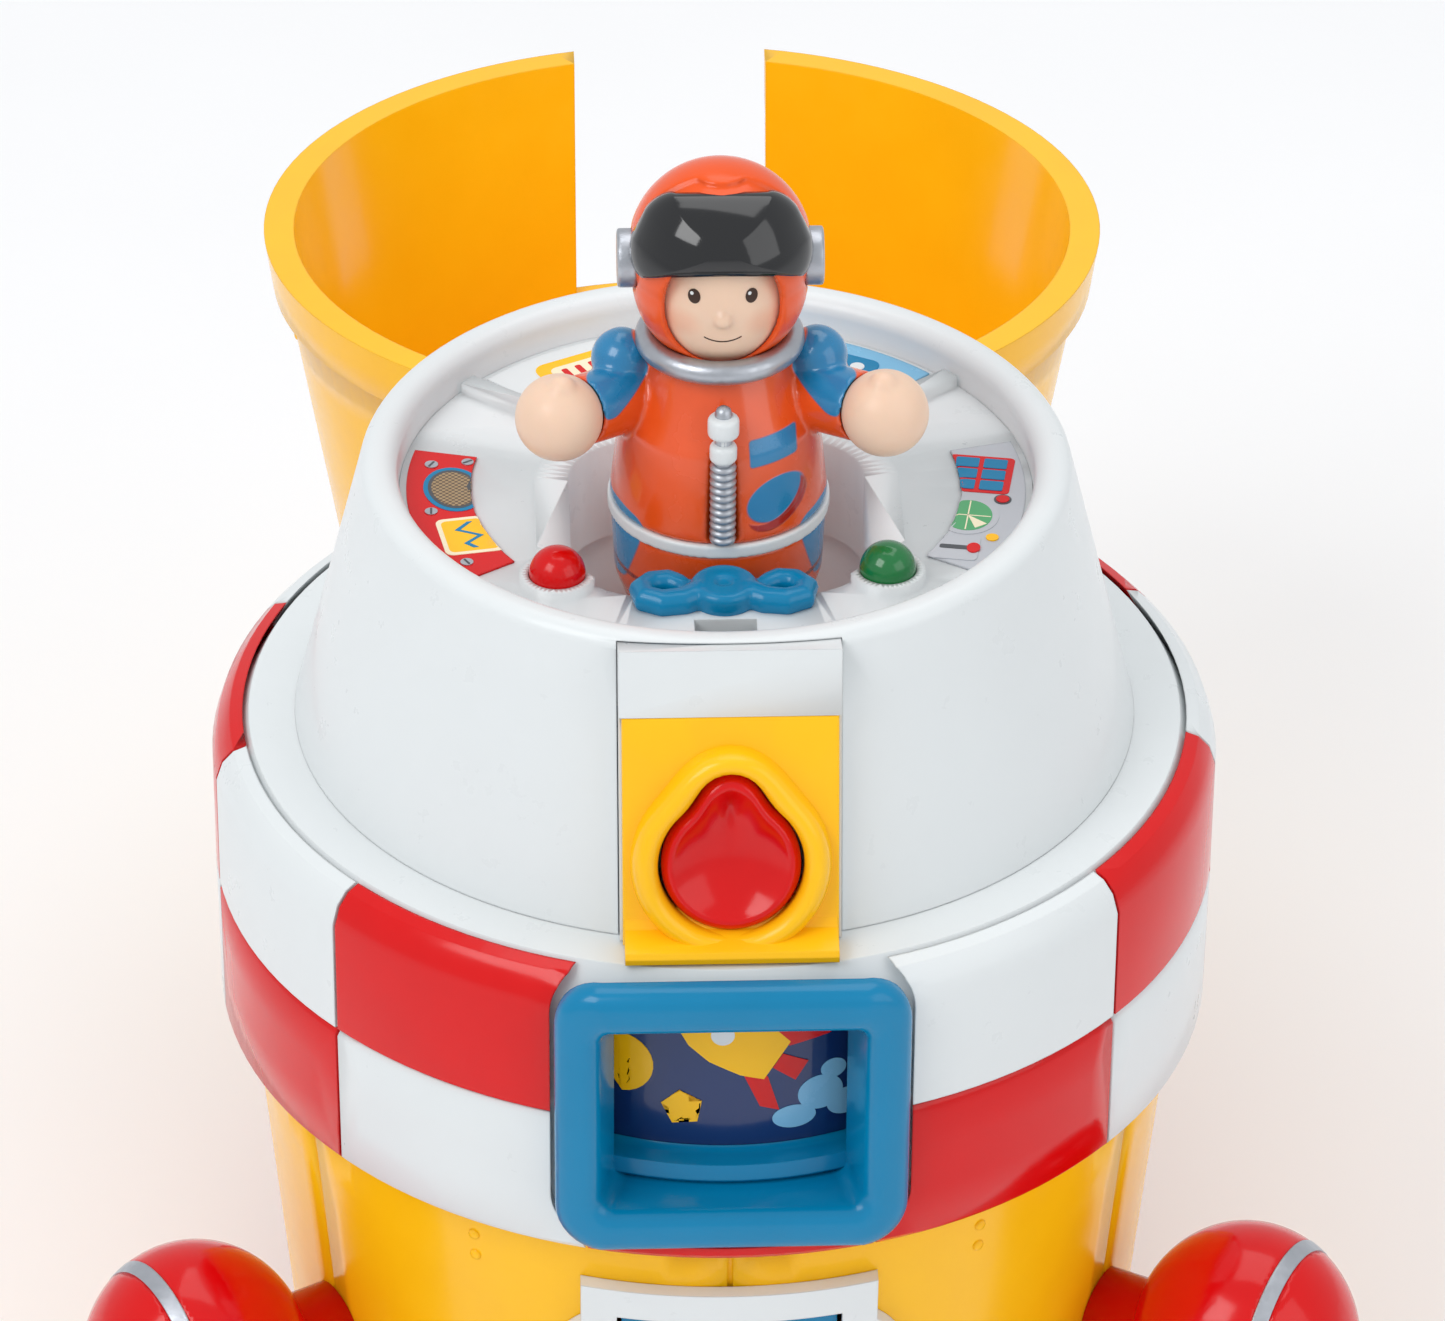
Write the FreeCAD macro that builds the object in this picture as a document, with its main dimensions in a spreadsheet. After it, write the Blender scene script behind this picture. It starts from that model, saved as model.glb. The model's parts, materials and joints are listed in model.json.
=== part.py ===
"""A toy space rocket with an opening nose, a picture window, a cargo door and an astronaut.

Millimetres, +Z up. The origin is the centre of the flat underside, on the rocket's axis.
The window, the latch and the cargo door face -Y. The nose cone stands open, upside down, at +Y.
An angle round the axis is measured from the front (-Y) towards +X.
"""
import FreeCAD, Part
import math
import os
import re
import Sketcher
from FreeCAD import Placement, Rotation, Vector

SIZES = {
    # overall heights
    "flange_z": 160.0,          # the flat ring that the closed nose stands on
    "band_height": 48.5,        # the two rows of tiles
    # lower body
    "body_top_r": 71.5,
    "body_slope": 0.09,         # radius lost for each millimetre down
    "body_wall": 2.5,
    "plate_thick": 3.0,         # base plate
    "plate_inset": 1.2,
    "seat_gap": 0.1,            # between pieces that stand still against each other
    "groove_width": 0.9,
    "groove_depth": 0.6,
    "boss_r": 4.5,
    "boss_ring_r": 48.0,
    "screw_r": 1.5,
    "screw_head_r": 3.0,
    "screw_length": 16.0,
    # cargo bay
    "floor_z": 38.0,
    "floor_thick": 2.0,
    "door_bottom_z": 45.0,
    "door_height": 52.0,
    "door_width": 42.0,
    "door_lobe_r": 9.0,
    "door_thick": 2.6,
    "door_proud": 1.0,
    "door_gap": 0.7,
    "frame_width": 6.0,
    "frame_proud": 2.6,
    "door_pin_r": 1.2,
    "door_barrel_r": 2.2,
    "door_barrel_half": 9.7,
    "door_lug": 4.0,
    "door_lug_gap": 0.4,
    "pin_play": 0.05,           # running clearance of every pin
    # boosters
    "booster_ring_r": 92.5,
    "booster_r": 17.5,
    "booster_dome": 19.0,
    "booster_top_z": 90.7,
    "booster_wall": 2.2,
    "arm_width": 12.0,
    "arm_top_z": 76.0,
    "arm_bottom_z": 34.0,
    "stripe_offset": 6.5,
    "stripe_width": 2.2,
    "stripe_depth": 0.8,
    "nozzle_height": 14.0,
    "nozzle_top_r": 9.5,
    "nozzle_bottom_r": 14.0,
    "nozzle_wall": 2.0,
    # checker band
    "flange_r": 70.0,
    "flange_thick": 2.5,
    "flange_hole_r": 54.0,
    "core_r": 73.4,
    "core_wall": 3.4,
    "tile_r": 76.0,
    "tile_rows_gap": 0.5,
    "tile_seam": 0.5,
    "tile_count": 11,
    # picture window
    "window_width": 52.4,
    "window_height": 46.5,
    "window_top": 0.5,          # above the flange
    "window_corner": 7.0,
    "window_r": 80.0,
    "opening_width": 38.5,
    "opening_height": 31.8,
    "opening_top": -7.2,        # below the flange
    "opening_corner": 3.0,
    "lining_wall": 2.0,
    "lining_r": 70.9,
    # picture drum
    "drum_r": 44.0,
    "drum_y": -22.0,
    "drum_wall": 2.0,
    "drum_top": -4.5,
    "drum_bottom": -38.5,
    "ridge_r": 48.7,
    "ridge_height": 3.2,
    "sleeve_thick": 0.4,
    "hub_r": 6.0,
    "spindle_r": 3.0,
    # cockpit housing
    "cone_r": 63.4,
    "cone_slope": 0.25,
    "cone_height": 44.0,
    "cone_wall": 2.6,
    "rim_inner_r": 47.2,
    "rim_round": 2.6,
    "console_z": 38.0,          # above the flange
    "tray_thick": 2.2,
    "well_width": 44.0,
    "well_depth": 40.0,
    "well_y": -10.0,
    "well_corner": 11.0,
    "well_wall": 2.0,
    "well_floor": 24.0,         # above the flange
    "collar_width": 5.0,
    "collar_height": 2.0,
    "spoke_width": 3.0,
    "dome_r": 4.15,
    "dome_ring_r": 35.3,
    "dome_angle": 43.0,
    "dome_travel": 1.2,
    "plinth_r": 5.6,
    "plinth_height": 1.5,
    "stem_r": 2.0,
    "yoke_y": -31.0,
    "yoke_half": 9.4,
    "yoke_lobe_r": 4.6,
    "yoke_thick": 3.2,
    "yoke_post_r": 2.2,
    "slot_width": 9.0,
    "slot_depth": 4.0,
    "slot_y": -38.5,
    "label_inner_r": 36.5,
    "label_outer_r": 46.0,
    "label_thick": 0.3,
    # latch, laid out on the slope of the cockpit housing
    "latch_width": 32.0,
    "latch_height": 45.0,
    "latch_deep": 8.0,
    "latch_proud": 1.8,
    "cap_height": 10.0,
    "plate_width": 31.2,
    "latch_plate_thick": 2.9,
    "lip_height": 4.4,
    "lip_proud": 3.0,
    "pear_r": 10.3,
    "pear_z": 13.0,
    "pear_tip_r": 4.7,
    "pear_tip_z": 21.6,
    "ring_width": 4.2,
    "ring_proud": 2.8,
    "button_gap": 0.35,
    "button_sunk": 0.6,
    "button_travel": 2.5,
    "button_skirt": 1.0,
    "button_stem_r": 2.6,
    "button_stem": 22.0,
    "spring_r": 3.9,
    "spring_wire_r": 0.35,
    "spring_turns": 4,
    # nose cone, drawn closed and then laid open
    "nose_gap": 0.3,
    "nose_rim_r": 70.0,
    "nose_r": 68.2,
    "nose_slope": 0.175,
    "nose_inner_r": 65.0,
    "nose_dome_z": 50.0,
    "lip_band": 10.0,
    "nose_slot_width": 33.4,
    "nose_slot_height": 41.5,
    "hinge_y": 73.7,
    "hinge_z": 2.2,             # from the flange
    "hinge_open": 183.7,
    "hinge_barrel_r": 2.4,
    "hinge_pin_r": 1.0,
    "knuckle_half": 13.0,
    "ear_width": 4.5,
    "ear_gap": 0.4,
    # astronaut, upright in the well
    "figure_y": -9.0,
    "torso_r": 16.0,
    "torso_top": 68.0,
    "head_z": 79.0,
    "head_r": 11.6,
    "helmet_z": 84.1,
    "helmet_r": 13.3,
    "hand_x": 23.6,
    "hand_y": -20.0,
    "hand_z": 62.5,
    "hand_r": 6.4,
    "sleeve_r": 5.2,
    "ring_z": 69.6,
    "ring_r": 10.6,
    "ring_tube_r": 1.8,
    "figure_gap": 0.1,
}

doc = FreeCAD.newDocument("SpaceRocket")
sheet = doc.addObject("Spreadsheet::Sheet", "Sizes")
for row, (alias, number) in enumerate(SIZES.items(), start=1):
    sheet.set(f"A{row}", alias)
    sheet.set(f"B{row}", str(number))
    sheet.setAlias(f"B{row}", alias)
doc.recompute()

NODES = {}


def size(alias):
    """The value of one cell of the sheet."""
    return float(sheet.get(alias))


def linked(text):
    """An expression in which each size's name has become a reference to its cell."""
    return re.sub(r"[a-z]\w*", lambda word: "Sizes." + word[0] if word[0] in SIZES else word[0], str(text))


def bind(thing, **fields):
    for field, text in fields.items():
        thing.setExpression(field, linked(text))
    return thing


def place(thing, x=0, y=0, z=0):
    for axis, text in zip("xyz", (x, y, z)):
        thing.setExpression(f"Placement.Base.{axis}", linked(text))
    return thing


def keep(name, thing):
    """Register a finished piece as the node that its file is named after."""
    thing.Label = name
    NODES[name] = thing
    return thing


# ---------------------------------------------------------------- solids bound to the sheet

def box(name, length, width, height, x, y, z):
    """A box by its lowest corner."""
    thing = doc.addObject("Part::Box", name)
    bind(thing, Length=length, Width=width, Height=height)
    return place(thing, x, y, z)


def middle_box(name, length, width, height, y, z):
    """A box centred on the plane x = 0."""
    return box(name, length, width, height, f"-({length})/2", y, z)


TURNS = {
    "Z": Rotation(),
    "X": Rotation(Vector(0, 1, 0), 90),
    "Y": Rotation(Vector(1, 0, 0), -90),
    "-Y": Rotation(Vector(1, 0, 0), 90),
}


def rod(name, radius, length, x=0, y=0, z=0, axis="Z"):
    """A cylinder from its first end along an axis."""
    thing = doc.addObject("Part::Cylinder", name)
    thing.Placement = Placement(Vector(), TURNS[axis])
    bind(thing, Radius=radius, Height=length)
    return place(thing, x, y, z)


def cone(name, low_r, high_r, height, z=0, x=0, y=0):
    thing = doc.addObject("Part::Cone", name)
    bind(thing, Radius1=low_r, Radius2=high_r, Height=height)
    return place(thing, x, y, z)


def ball(name, radius, x=0, y=0, z=0):
    thing = doc.addObject("Part::Sphere", name)
    bind(thing, Radius=radius)
    return place(thing, x, y, z)


def egg(name, tall, across, x=0, y=0, z=0):
    """An ellipsoid with its own half height and half width."""
    thing = doc.addObject("Part::Ellipsoid", name)
    thing.Angle1 = -90
    bind(thing, Radius1=tall, Radius2=across, Radius3=across)
    return place(thing, x, y, z)


def hoop(name, ring_r, tube_r, x=0, y=0, z=0):
    thing = doc.addObject("Part::Torus", name)
    bind(thing, Radius1=ring_r, Radius2=tube_r)
    return place(thing, x, y, z)


def fuse(name, *things):
    thing = doc.addObject("Part::MultiFuse", name)
    thing.Shapes = list(things)
    thing.Refine = True
    return thing


def cut(name, base, *tools):
    thing = doc.addObject("Part::Cut", name)
    thing.Base = base
    thing.Tool = tools[0] if len(tools) == 1 else fuse(name + "_tools", *tools)
    return thing


def common(name, base, tool):
    thing = doc.addObject("Part::Common", name)
    thing.Base = base
    thing.Tool = tool
    return thing


def tube(name, outer_r, inner_r, height, z, x=0, y=0, beyond=1):
    """A round sleeve; the bore is cut from end to end."""
    outer = rod(name + "_outer", outer_r, height, x, y, z)
    inner = rod(name + "_bore", inner_r, f"{height} + {2 * beyond}", x, y, f"{z} - {beyond}")
    return cut(name, outer, inner)


# ---------------------------------------------------------------- sketched bodies

def sketch_on(body, role, name):
    sketch = body.newObject("Sketcher::SketchObject", name)
    plane = next(item for item in body.Origin.OriginFeatures if item.Role == role)
    sketch.AttachmentSupport = [(plane, "")]
    sketch.MapMode = "FlatFace"
    return sketch


def polygon(sketch, corners):
    """Draw a closed outline, each corner held by two dimensions that follow the sheet."""
    count = len(corners)
    start = [Vector(40 + 20 * math.cos(2 * math.pi * i / count),
                    40 + 20 * math.sin(2 * math.pi * i / count), 0) for i in range(count)]
    for i in range(count):
        sketch.addGeometry(Part.LineSegment(start[i], start[(i + 1) % count]), False)
    for i in range(count):
        sketch.addConstraint(Sketcher.Constraint("Coincident", i, 2, (i + 1) % count, 1))
    for i, corner in enumerate(corners):
        for kind, axis, text, now in (("DistanceX", -2, corner[0], start[i].x),
                                      ("DistanceY", -1, corner[1], start[i].y)):
            if str(text) == "0":
                sketch.addConstraint(Sketcher.Constraint("PointOnObject", i, 1, axis))
                continue
            number = sketch.addConstraint(Sketcher.Constraint(kind, -1, 1, i, 1, now))
            sketch.setExpression(f"Constraints[{number}]", linked(text))


def spun(name, corners):
    """A body turned about Z from an outline of (radius, height) corners."""
    body = doc.addObject("PartDesign::Body", name)
    sketch = sketch_on(body, "XZ_Plane", name + "_profile")
    polygon(sketch, corners)
    turn = body.newObject("PartDesign::Revolution", name + "_turn")
    turn.Profile = sketch
    turn.ReferenceAxis = (sketch, ["V_Axis"])
    turn.Angle = 360
    body.Tip = turn
    doc.recompute()
    return body


def soften(body, radius, wanted):
    """Round the edges of a body that a test picks out."""
    base = body.Tip
    names = [f"Edge{i}" for i, edge in enumerate(base.Shape.Edges, start=1) if wanted(edge)]
    fillet = body.newObject("PartDesign::Fillet", base.Name + "_soft")
    fillet.Base = (base, names)
    bind(fillet, Radius=radius)
    body.Tip = fillet
    doc.recompute()
    return body


def slab(name, width, height, depth, corner, x, y, z, role="XZ_Plane"):
    """A plate with four round corners: on XZ it runs from y towards the front, on XY upwards from z."""
    body = doc.addObject("PartDesign::Body", name)
    sketch = sketch_on(body, role, name + "_outline")
    polygon(sketch, [(0, 0), (width, 0), (width, height), (0, height)])
    pad = body.newObject("PartDesign::Pad", name + "_pad")
    pad.Profile = sketch
    bind(pad, Length=depth)
    body.Tip = pad
    doc.recompute()
    along = Vector(0, 1, 0) if role == "XZ_Plane" else Vector(0, 0, 1)
    soften(body, corner, lambda edge: abs(edge.tangentAt(edge.FirstParameter).dot(along)) > 0.99)
    return place(body, x, y, z)


def ring_at(edge, radius, height, slack=0.05):
    """True for a circle about Z of this radius at this height."""
    spot = edge.Vertexes[0].Point
    return (abs(math.hypot(spot.x, spot.y) - radius) < slack and abs(spot.z - height) < slack
            and abs(edge.BoundBox.ZLength) < slack)


def copies(name, shapes):
    """Several separate solids kept as one node."""
    thing = doc.addObject("Part::Feature", name)
    thing.Shape = Part.makeCompound(shapes)
    return thing


def turned(shape, angle):
    """A copy of a shape turned about the rocket's axis."""
    copy = shape.copy()
    copy.rotate(Vector(), Vector(0, 0, 1), angle)
    return copy


# ---------------------------------------------------------------- lower body

BAND_Z = "(flange_z - band_height)"
BODY_LOW_R = f"(body_top_r - body_slope*({BAND_Z} - plate_thick))"
BODY_TALL = f"({BAND_Z} - plate_thick)"


def body_cone(name, offset):
    """The solid within the tapered wall, moved out or in by an offset."""
    return cone(name, f"{BODY_LOW_R} + {offset}", f"body_top_r + {offset}", BODY_TALL, "plate_thick")


def body_skin(name, inner, outer):
    """A tapered sleeve between two offsets from the outside of the body."""
    return cut(name, body_cone(name + "_out", outer), body_cone(name + "_in", inner))


def cloud(name, grow):
    """The door's outline as a deep block: a plate with a round lobe at each upper corner and side."""
    wide = f"(door_width + 2*({grow}))"
    tall = f"(door_height + 2*({grow}))"
    lobe = f"(door_lobe_r + ({grow}))"
    core = box(name + "_core", f"{wide} - 10", 30, tall,
               f"-({wide} - 10)/2", "-body_top_r - 10", f"door_bottom_z - ({grow})")
    parts = [core]
    spots = [("-door_width/2 + door_lobe_r", "door_bottom_z + door_height - 13"),
             ("door_width/2 - door_lobe_r", "door_bottom_z + door_height - 13"),
             ("-door_width/2 + door_lobe_r - 2", "door_bottom_z + door_height/2 - 2"),
             ("door_width/2 - door_lobe_r + 2", "door_bottom_z + door_height/2 - 2")]
    for i, (x, z) in enumerate(spots):
        parts.append(rod(f"{name}_lobe{i}", lobe, 30, x, "-body_top_r - 10", z, "Y"))
    parts.append(box(name + "_foot", wide, 30, f"door_lobe_r + 2*({grow})",
                     f"-({wide})/2", "-body_top_r - 10", f"door_bottom_z - ({grow})"))
    return fuse(name, *parts)


def lower_body():
    wall = body_skin("body_wall_skin", "-body_wall", "0")
    deck = cone("body_deck_plate", "body_top_r - body_wall - 0.4", "body_top_r - body_wall + 0.2",
                "flange_thick", f"{BAND_Z} - flange_thick")
    parts = [wall, deck]
    for i in range(4):
        boss = rod(f"body_boss{i}", "boss_r", "floor_z - plate_thick", z="plate_thick")
        boss.setExpression("Placement.Base.x", linked(f"boss_ring_r*cos({45 + 90 * i})"))
        boss.setExpression("Placement.Base.y", linked(f"boss_ring_r*sin({45 + 90 * i})"))
        rib = box(f"body_rib{i}", f"{BODY_LOW_R} - boss_ring_r - 0.5", 2, "floor_z - plate_thick - 6",
                  "boss_ring_r", -1, "plate_thick + 2")
        rib.Placement = Placement(Vector(), Rotation(Vector(0, 0, 1), 45 + 90 * i))
        rib.setExpression("Placement.Base.x", linked(f"boss_ring_r*cos({45 + 90 * i}) + sin({45 + 90 * i})"))
        rib.setExpression("Placement.Base.y", linked(f"boss_ring_r*sin({45 + 90 * i}) - cos({45 + 90 * i})"))
        rib.setExpression("Placement.Base.z", linked("plate_thick + 2"))
        parts += [boss, rib]
    grooves = body_skin("groove_skin", "-groove_depth", "1")
    strips = []
    for i, angle in enumerate((0, 60, 120, 180, 240, 300)):
        strip = box(f"groove{i}", "groove_width", 90, BODY_TALL, 0, 0, "plate_thick")
        strip.Placement = Placement(Vector(), Rotation(Vector(0, 0, 1), angle + 180))
        strip.setExpression("Placement.Base.x", linked(f"-groove_width/2*cos({angle + 180})"))
        strip.setExpression("Placement.Base.y", linked(f"-groove_width/2*sin({angle + 180})"))
        strip.setExpression("Placement.Base.z", linked("plate_thick"))
        strips.append(strip)
    lines = common("groove_lines", grooves, fuse("groove_strips", *strips))
    holes = [rod(f"boss_hole{i}", "screw_r - 0.2", "screw_length + 2",
                 f"boss_ring_r*cos({45 + 90 * i})", f"boss_ring_r*sin({45 + 90 * i})", 0) for i in range(4)]
    pivot = rod("door_lug_bore", "door_pin_r", "4*door_barrel_half", "-2*door_barrel_half",
                f"-{DOOR_PIN_Y}", DOOR_PIN_Z, "X")
    seat = rod("spindle_hole", "spindle_r", 20, 0, "drum_y", f"{BAND_Z} - 10")
    sill = box("door_hole_sill", "door_width + 20", 40, "2*door_barrel_r + 2.4", "-door_width/2 - 10",
               "-body_top_r - 10", "door_bottom_z - 2")
    notch = middle_box("door_hinge_notch", f"2*{LUG_REACH}", 14, "2*door_barrel_r + 6",
                       f"-{DOOR_PIN_Y} - 8", "door_bottom_z - 1.9")
    shell = cut("body_shell_cut", fuse("body_shell_whole", *parts), lines,
                cut("door_hole_upper", cloud("door_hole", "1.6"), sill), notch, *holes, seat)
    lugs = [box(f"door_lug{side}", "door_lug", "2*door_barrel_r", "2*door_barrel_r + 2.4",
                f"{side}*(door_barrel_half + door_lug_gap + door_lug/2) - door_lug/2",
                f"-{DOOR_PIN_Y} - door_barrel_r", "door_bottom_z - 2.2") for side in (-1, 1)]
    ledge = middle_box("door_lug_ledge", f"2*{LUG_REACH} + 1", 3, "2*door_barrel_r + 3",
                       f"-{DOOR_PIN_Y} + door_barrel_r + 0.6", "door_bottom_z - 3")
    feet = [box(f"door_lug_foot{side}", "door_lug", 4, "2*door_barrel_r",
                f"{side}*(door_barrel_half + door_lug_gap + door_lug/2) - door_lug/2",
                f"-{DOOR_PIN_Y} + door_barrel_r - 1", "door_bottom_z - 2.2") for side in (-1, 1)]
    whole = fuse("body_with_lugs", shell, ledge, *lugs, *feet)
    keep("body_shell", cut("body_shell_done", whole, pivot))


LUG_REACH = "(door_barrel_half + door_lug_gap + door_lug + 0.4)"
DOOR_PIN_Z = "(door_bottom_z + door_barrel_r)"
DOOR_PIN_Y = f"(body_top_r - body_slope*({BAND_Z} - door_bottom_z) - 2.3)"


def base():
    plate = rod("base_disc", f"{BODY_LOW_R} - plate_inset", "plate_thick")
    step = tube("base_step", f"{BODY_LOW_R} - body_wall - 0.6", f"{BODY_LOW_R} - body_wall - 3",
                3, "plate_thick")
    holes = []
    for i in range(4):
        x = f"boss_ring_r*cos({45 + 90 * i})"
        y = f"boss_ring_r*sin({45 + 90 * i})"
        holes.append(rod(f"base_hole{i}", "screw_r + 0.2", 10, x, y, -1))
        holes.append(rod(f"base_sink{i}", "screw_head_r + 0.3", 2.6, x, y, -1))
        holes.append(box(f"base_rib_gap{i}", 40, 3.2, 5, x, y, "plate_thick"))
        holes[-1].Placement = Placement(Vector(), Rotation(Vector(0, 0, 1), 45 + 90 * i))
        place(holes[-1], f"{x} + 1.6*sin({45 + 90 * i})", f"{y} - 1.6*cos({45 + 90 * i})", "plate_thick")
    keep("base_plate", cut("base_plate_cut", fuse("base_blank", plate, step), *holes))
    screw = fuse("base_screw", rod("screw_head", "screw_head_r", 1.3, z=0.2),
                 rod("screw_shank", "screw_r - 0.2", "screw_length", z=0.2))
    doc.recompute()
    shapes = []
    for i in range(4):
        one = screw.Shape.copy()
        angle = math.radians(45 + 90 * i)
        one.translate(Vector(size("boss_ring_r") * math.cos(angle), size("boss_ring_r") * math.sin(angle), 0))
        shapes.append(one)
    keep("base_screws", copies("base_screws_set", shapes))


def cargo_bay():
    disc = rod("floor_disc", f"{BODY_LOW_R} - body_wall + body_slope*(floor_z - plate_thick) - 0.3",
               "floor_thick", z="floor_z + seat_gap")
    keep("cargo_floor", disc)
    frame_skin = body_skin("frame_skin", "seat_gap", "frame_proud")
    ring = cut("door_frame_block", cloud("frame_outer", "frame_width"), cloud("frame_inner", "door_gap"),
               box("frame_sill_gap", "door_width + 2*door_gap", 30, 4,
                   "-(door_width + 2*door_gap)/2", "-body_top_r - 10", "door_bottom_z - 2.6"))
    keep("door_frame", common("door_frame_cut", frame_skin, ring))
    door_skin = body_skin("door_skin", "-door_thick + door_proud", "door_proud")
    leaf = common("door_leaf", door_skin, cloud("door_outline", "0"))
    trim = box("door_foot_trim", "door_width + 10", 40, "2*door_barrel_r + 2", "-(door_width + 10)/2",
               "-body_top_r - 10", "door_bottom_z - 1")
    barrel = rod("door_barrel", "door_barrel_r", "2*door_barrel_half", "-door_barrel_half",
                 f"-{DOOR_PIN_Y}", DOOR_PIN_Z, "X")
    neck = middle_box("door_neck", "2*door_barrel_half", "door_barrel_r + 3", "door_barrel_r + 2.2",
                      f"-{DOOR_PIN_Y} - door_barrel_r - 1", DOOR_PIN_Z)
    neck_in = common("door_neck_in", neck, body_cone("door_neck_cone", "door_proud"))
    bore = rod("door_bore", "door_pin_r + pin_play", "4*door_barrel_half", "-2*door_barrel_half",
               f"-{DOOR_PIN_Y}", DOOR_PIN_Z, "X")
    solid = fuse("door_blank", cut("door_leaf_cut", leaf, trim), barrel, neck_in)
    keep("cargo_door", cut("cargo_door_done", solid, bore))
    reach = "(door_barrel_half + door_lug_gap + door_lug)"
    keep("door_pin", rod("door_pin_rod", "door_pin_r", f"2*{reach}", f"-{reach}", f"-{DOOR_PIN_Y}", DOOR_PIN_Z, "X"))


# ---------------------------------------------------------------- boosters

BOOSTERS = {"front_left": -60, "front_right": 60, "rear_left": -150, "rear_right": 150}


def pod_solid(name, grow):
    """A round-topped pod in front of the axis, grown or shrunk all over."""
    top = f"(booster_top_z - booster_dome)"
    stem = rod(name + "_stem", f"booster_r + ({grow})", f"{top} - nozzle_height - ({grow})*0",
               0, "-booster_ring_r", "nozzle_height")
    dome = egg(name + "_dome", f"booster_dome + ({grow})", f"booster_r + ({grow})",
               0, "-booster_ring_r", top)
    whole = fuse(name + "_whole", stem, dome)
    over = box(name + "_over", 60, 60, 120, -30, "-booster_ring_r - 30", "nozzle_height")
    return common(name, whole, over)


def stripe_skin(name, inner, outer):
    sleeve = cut(name + "_sleeve", pod_solid(name + "_out", outer), pod_solid(name + "_in", inner))
    slice_box = box(name + "_slice", 60, "stripe_width", 120, -30,
                    "-booster_ring_r - stripe_offset - stripe_width/2", "nozzle_height")
    return common(name, sleeve, slice_box)


def boosters():
    arm = fuse("arm_blank",
               middle_box("arm_box", "arm_width", "booster_ring_r - 55", "arm_top_z - arm_width/2 - arm_bottom_z",
                          "-booster_ring_r", "arm_bottom_z"),
               rod("arm_top", "arm_width/2", "booster_ring_r - 55", 0, "-booster_ring_r",
                   "arm_top_z - arm_width/2", "Y"))
    fitted = cut("arm_fitted", arm, body_cone("arm_body", "seat_gap"))
    hollow = pod_solid("pod_inside", "-booster_wall")
    shell = fuse("pod_with_arm", pod_solid("pod_outside", "0"), fitted)
    groove = stripe_skin("pod_groove", "-stripe_depth - 0.05", "1")
    floor = rod("pod_floor", "booster_r - booster_wall + 0.1", 2, 0, "-booster_ring_r", "nozzle_height")
    pod = cut("pod_master", fuse("pod_closed", cut("pod_hollow", shell, hollow), floor), groove)
    stripe = stripe_skin("stripe_master", "-stripe_depth", "0.1")
    nozzle = cut("nozzle_master",
                 cone("nozzle_out", "nozzle_bottom_r", "nozzle_top_r", "nozzle_height - 0.1",
                      0, 0, "-booster_ring_r"),
                 cone("nozzle_in", "nozzle_bottom_r - nozzle_wall", "nozzle_top_r - nozzle_wall",
                      "nozzle_height - 4", -0.01, 0, "-booster_ring_r"))
    doc.recompute()
    for side, angle in BOOSTERS.items():
        keep(f"booster_{side}", copies(f"booster_{side}_copy", [turned(pod.Shape, angle)]))
    keep("booster_stripes", copies("stripe_set", [turned(stripe.Shape, a) for a in BOOSTERS.values()]))
    keep("booster_nozzles", copies("nozzle_set", [turned(nozzle.Shape, a) for a in BOOSTERS.values()]))


# ---------------------------------------------------------------- checker band and window

WINDOW_Z = "(flange_z + window_top - window_height)"
OPENING_Z = "(flange_z + opening_top - opening_height)"
NOTCH_Z = "(flange_z - 3.2)"


def hinge_notch(name, spare):
    half = f"(knuckle_half + ear_gap + ear_width + {spare})"
    return box(name, f"2*{half}", 20, 20, f"-{half}", f"flange_r - 1.6 - {spare}", f"{NOTCH_Z} - {spare}")


def window_block(name, grow):
    """The outline of the window's frame as a deep block."""
    return slab(name, f"window_width + 2*({grow})", f"window_height + 2*({grow})", 60,
                f"window_corner + ({grow})", f"-window_width/2 - ({grow})", "-40",
                f"{WINDOW_Z} - ({grow})")


def lining_block(name, grow):
    """The outline of the window's opening as a deep block."""
    return slab(name, f"opening_width + 2*({grow})", f"opening_height + 2*({grow})", 60,
                f"opening_corner + ({grow})", f"-opening_width/2 - ({grow})", "-40",
                f"{OPENING_Z} - ({grow})")


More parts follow.
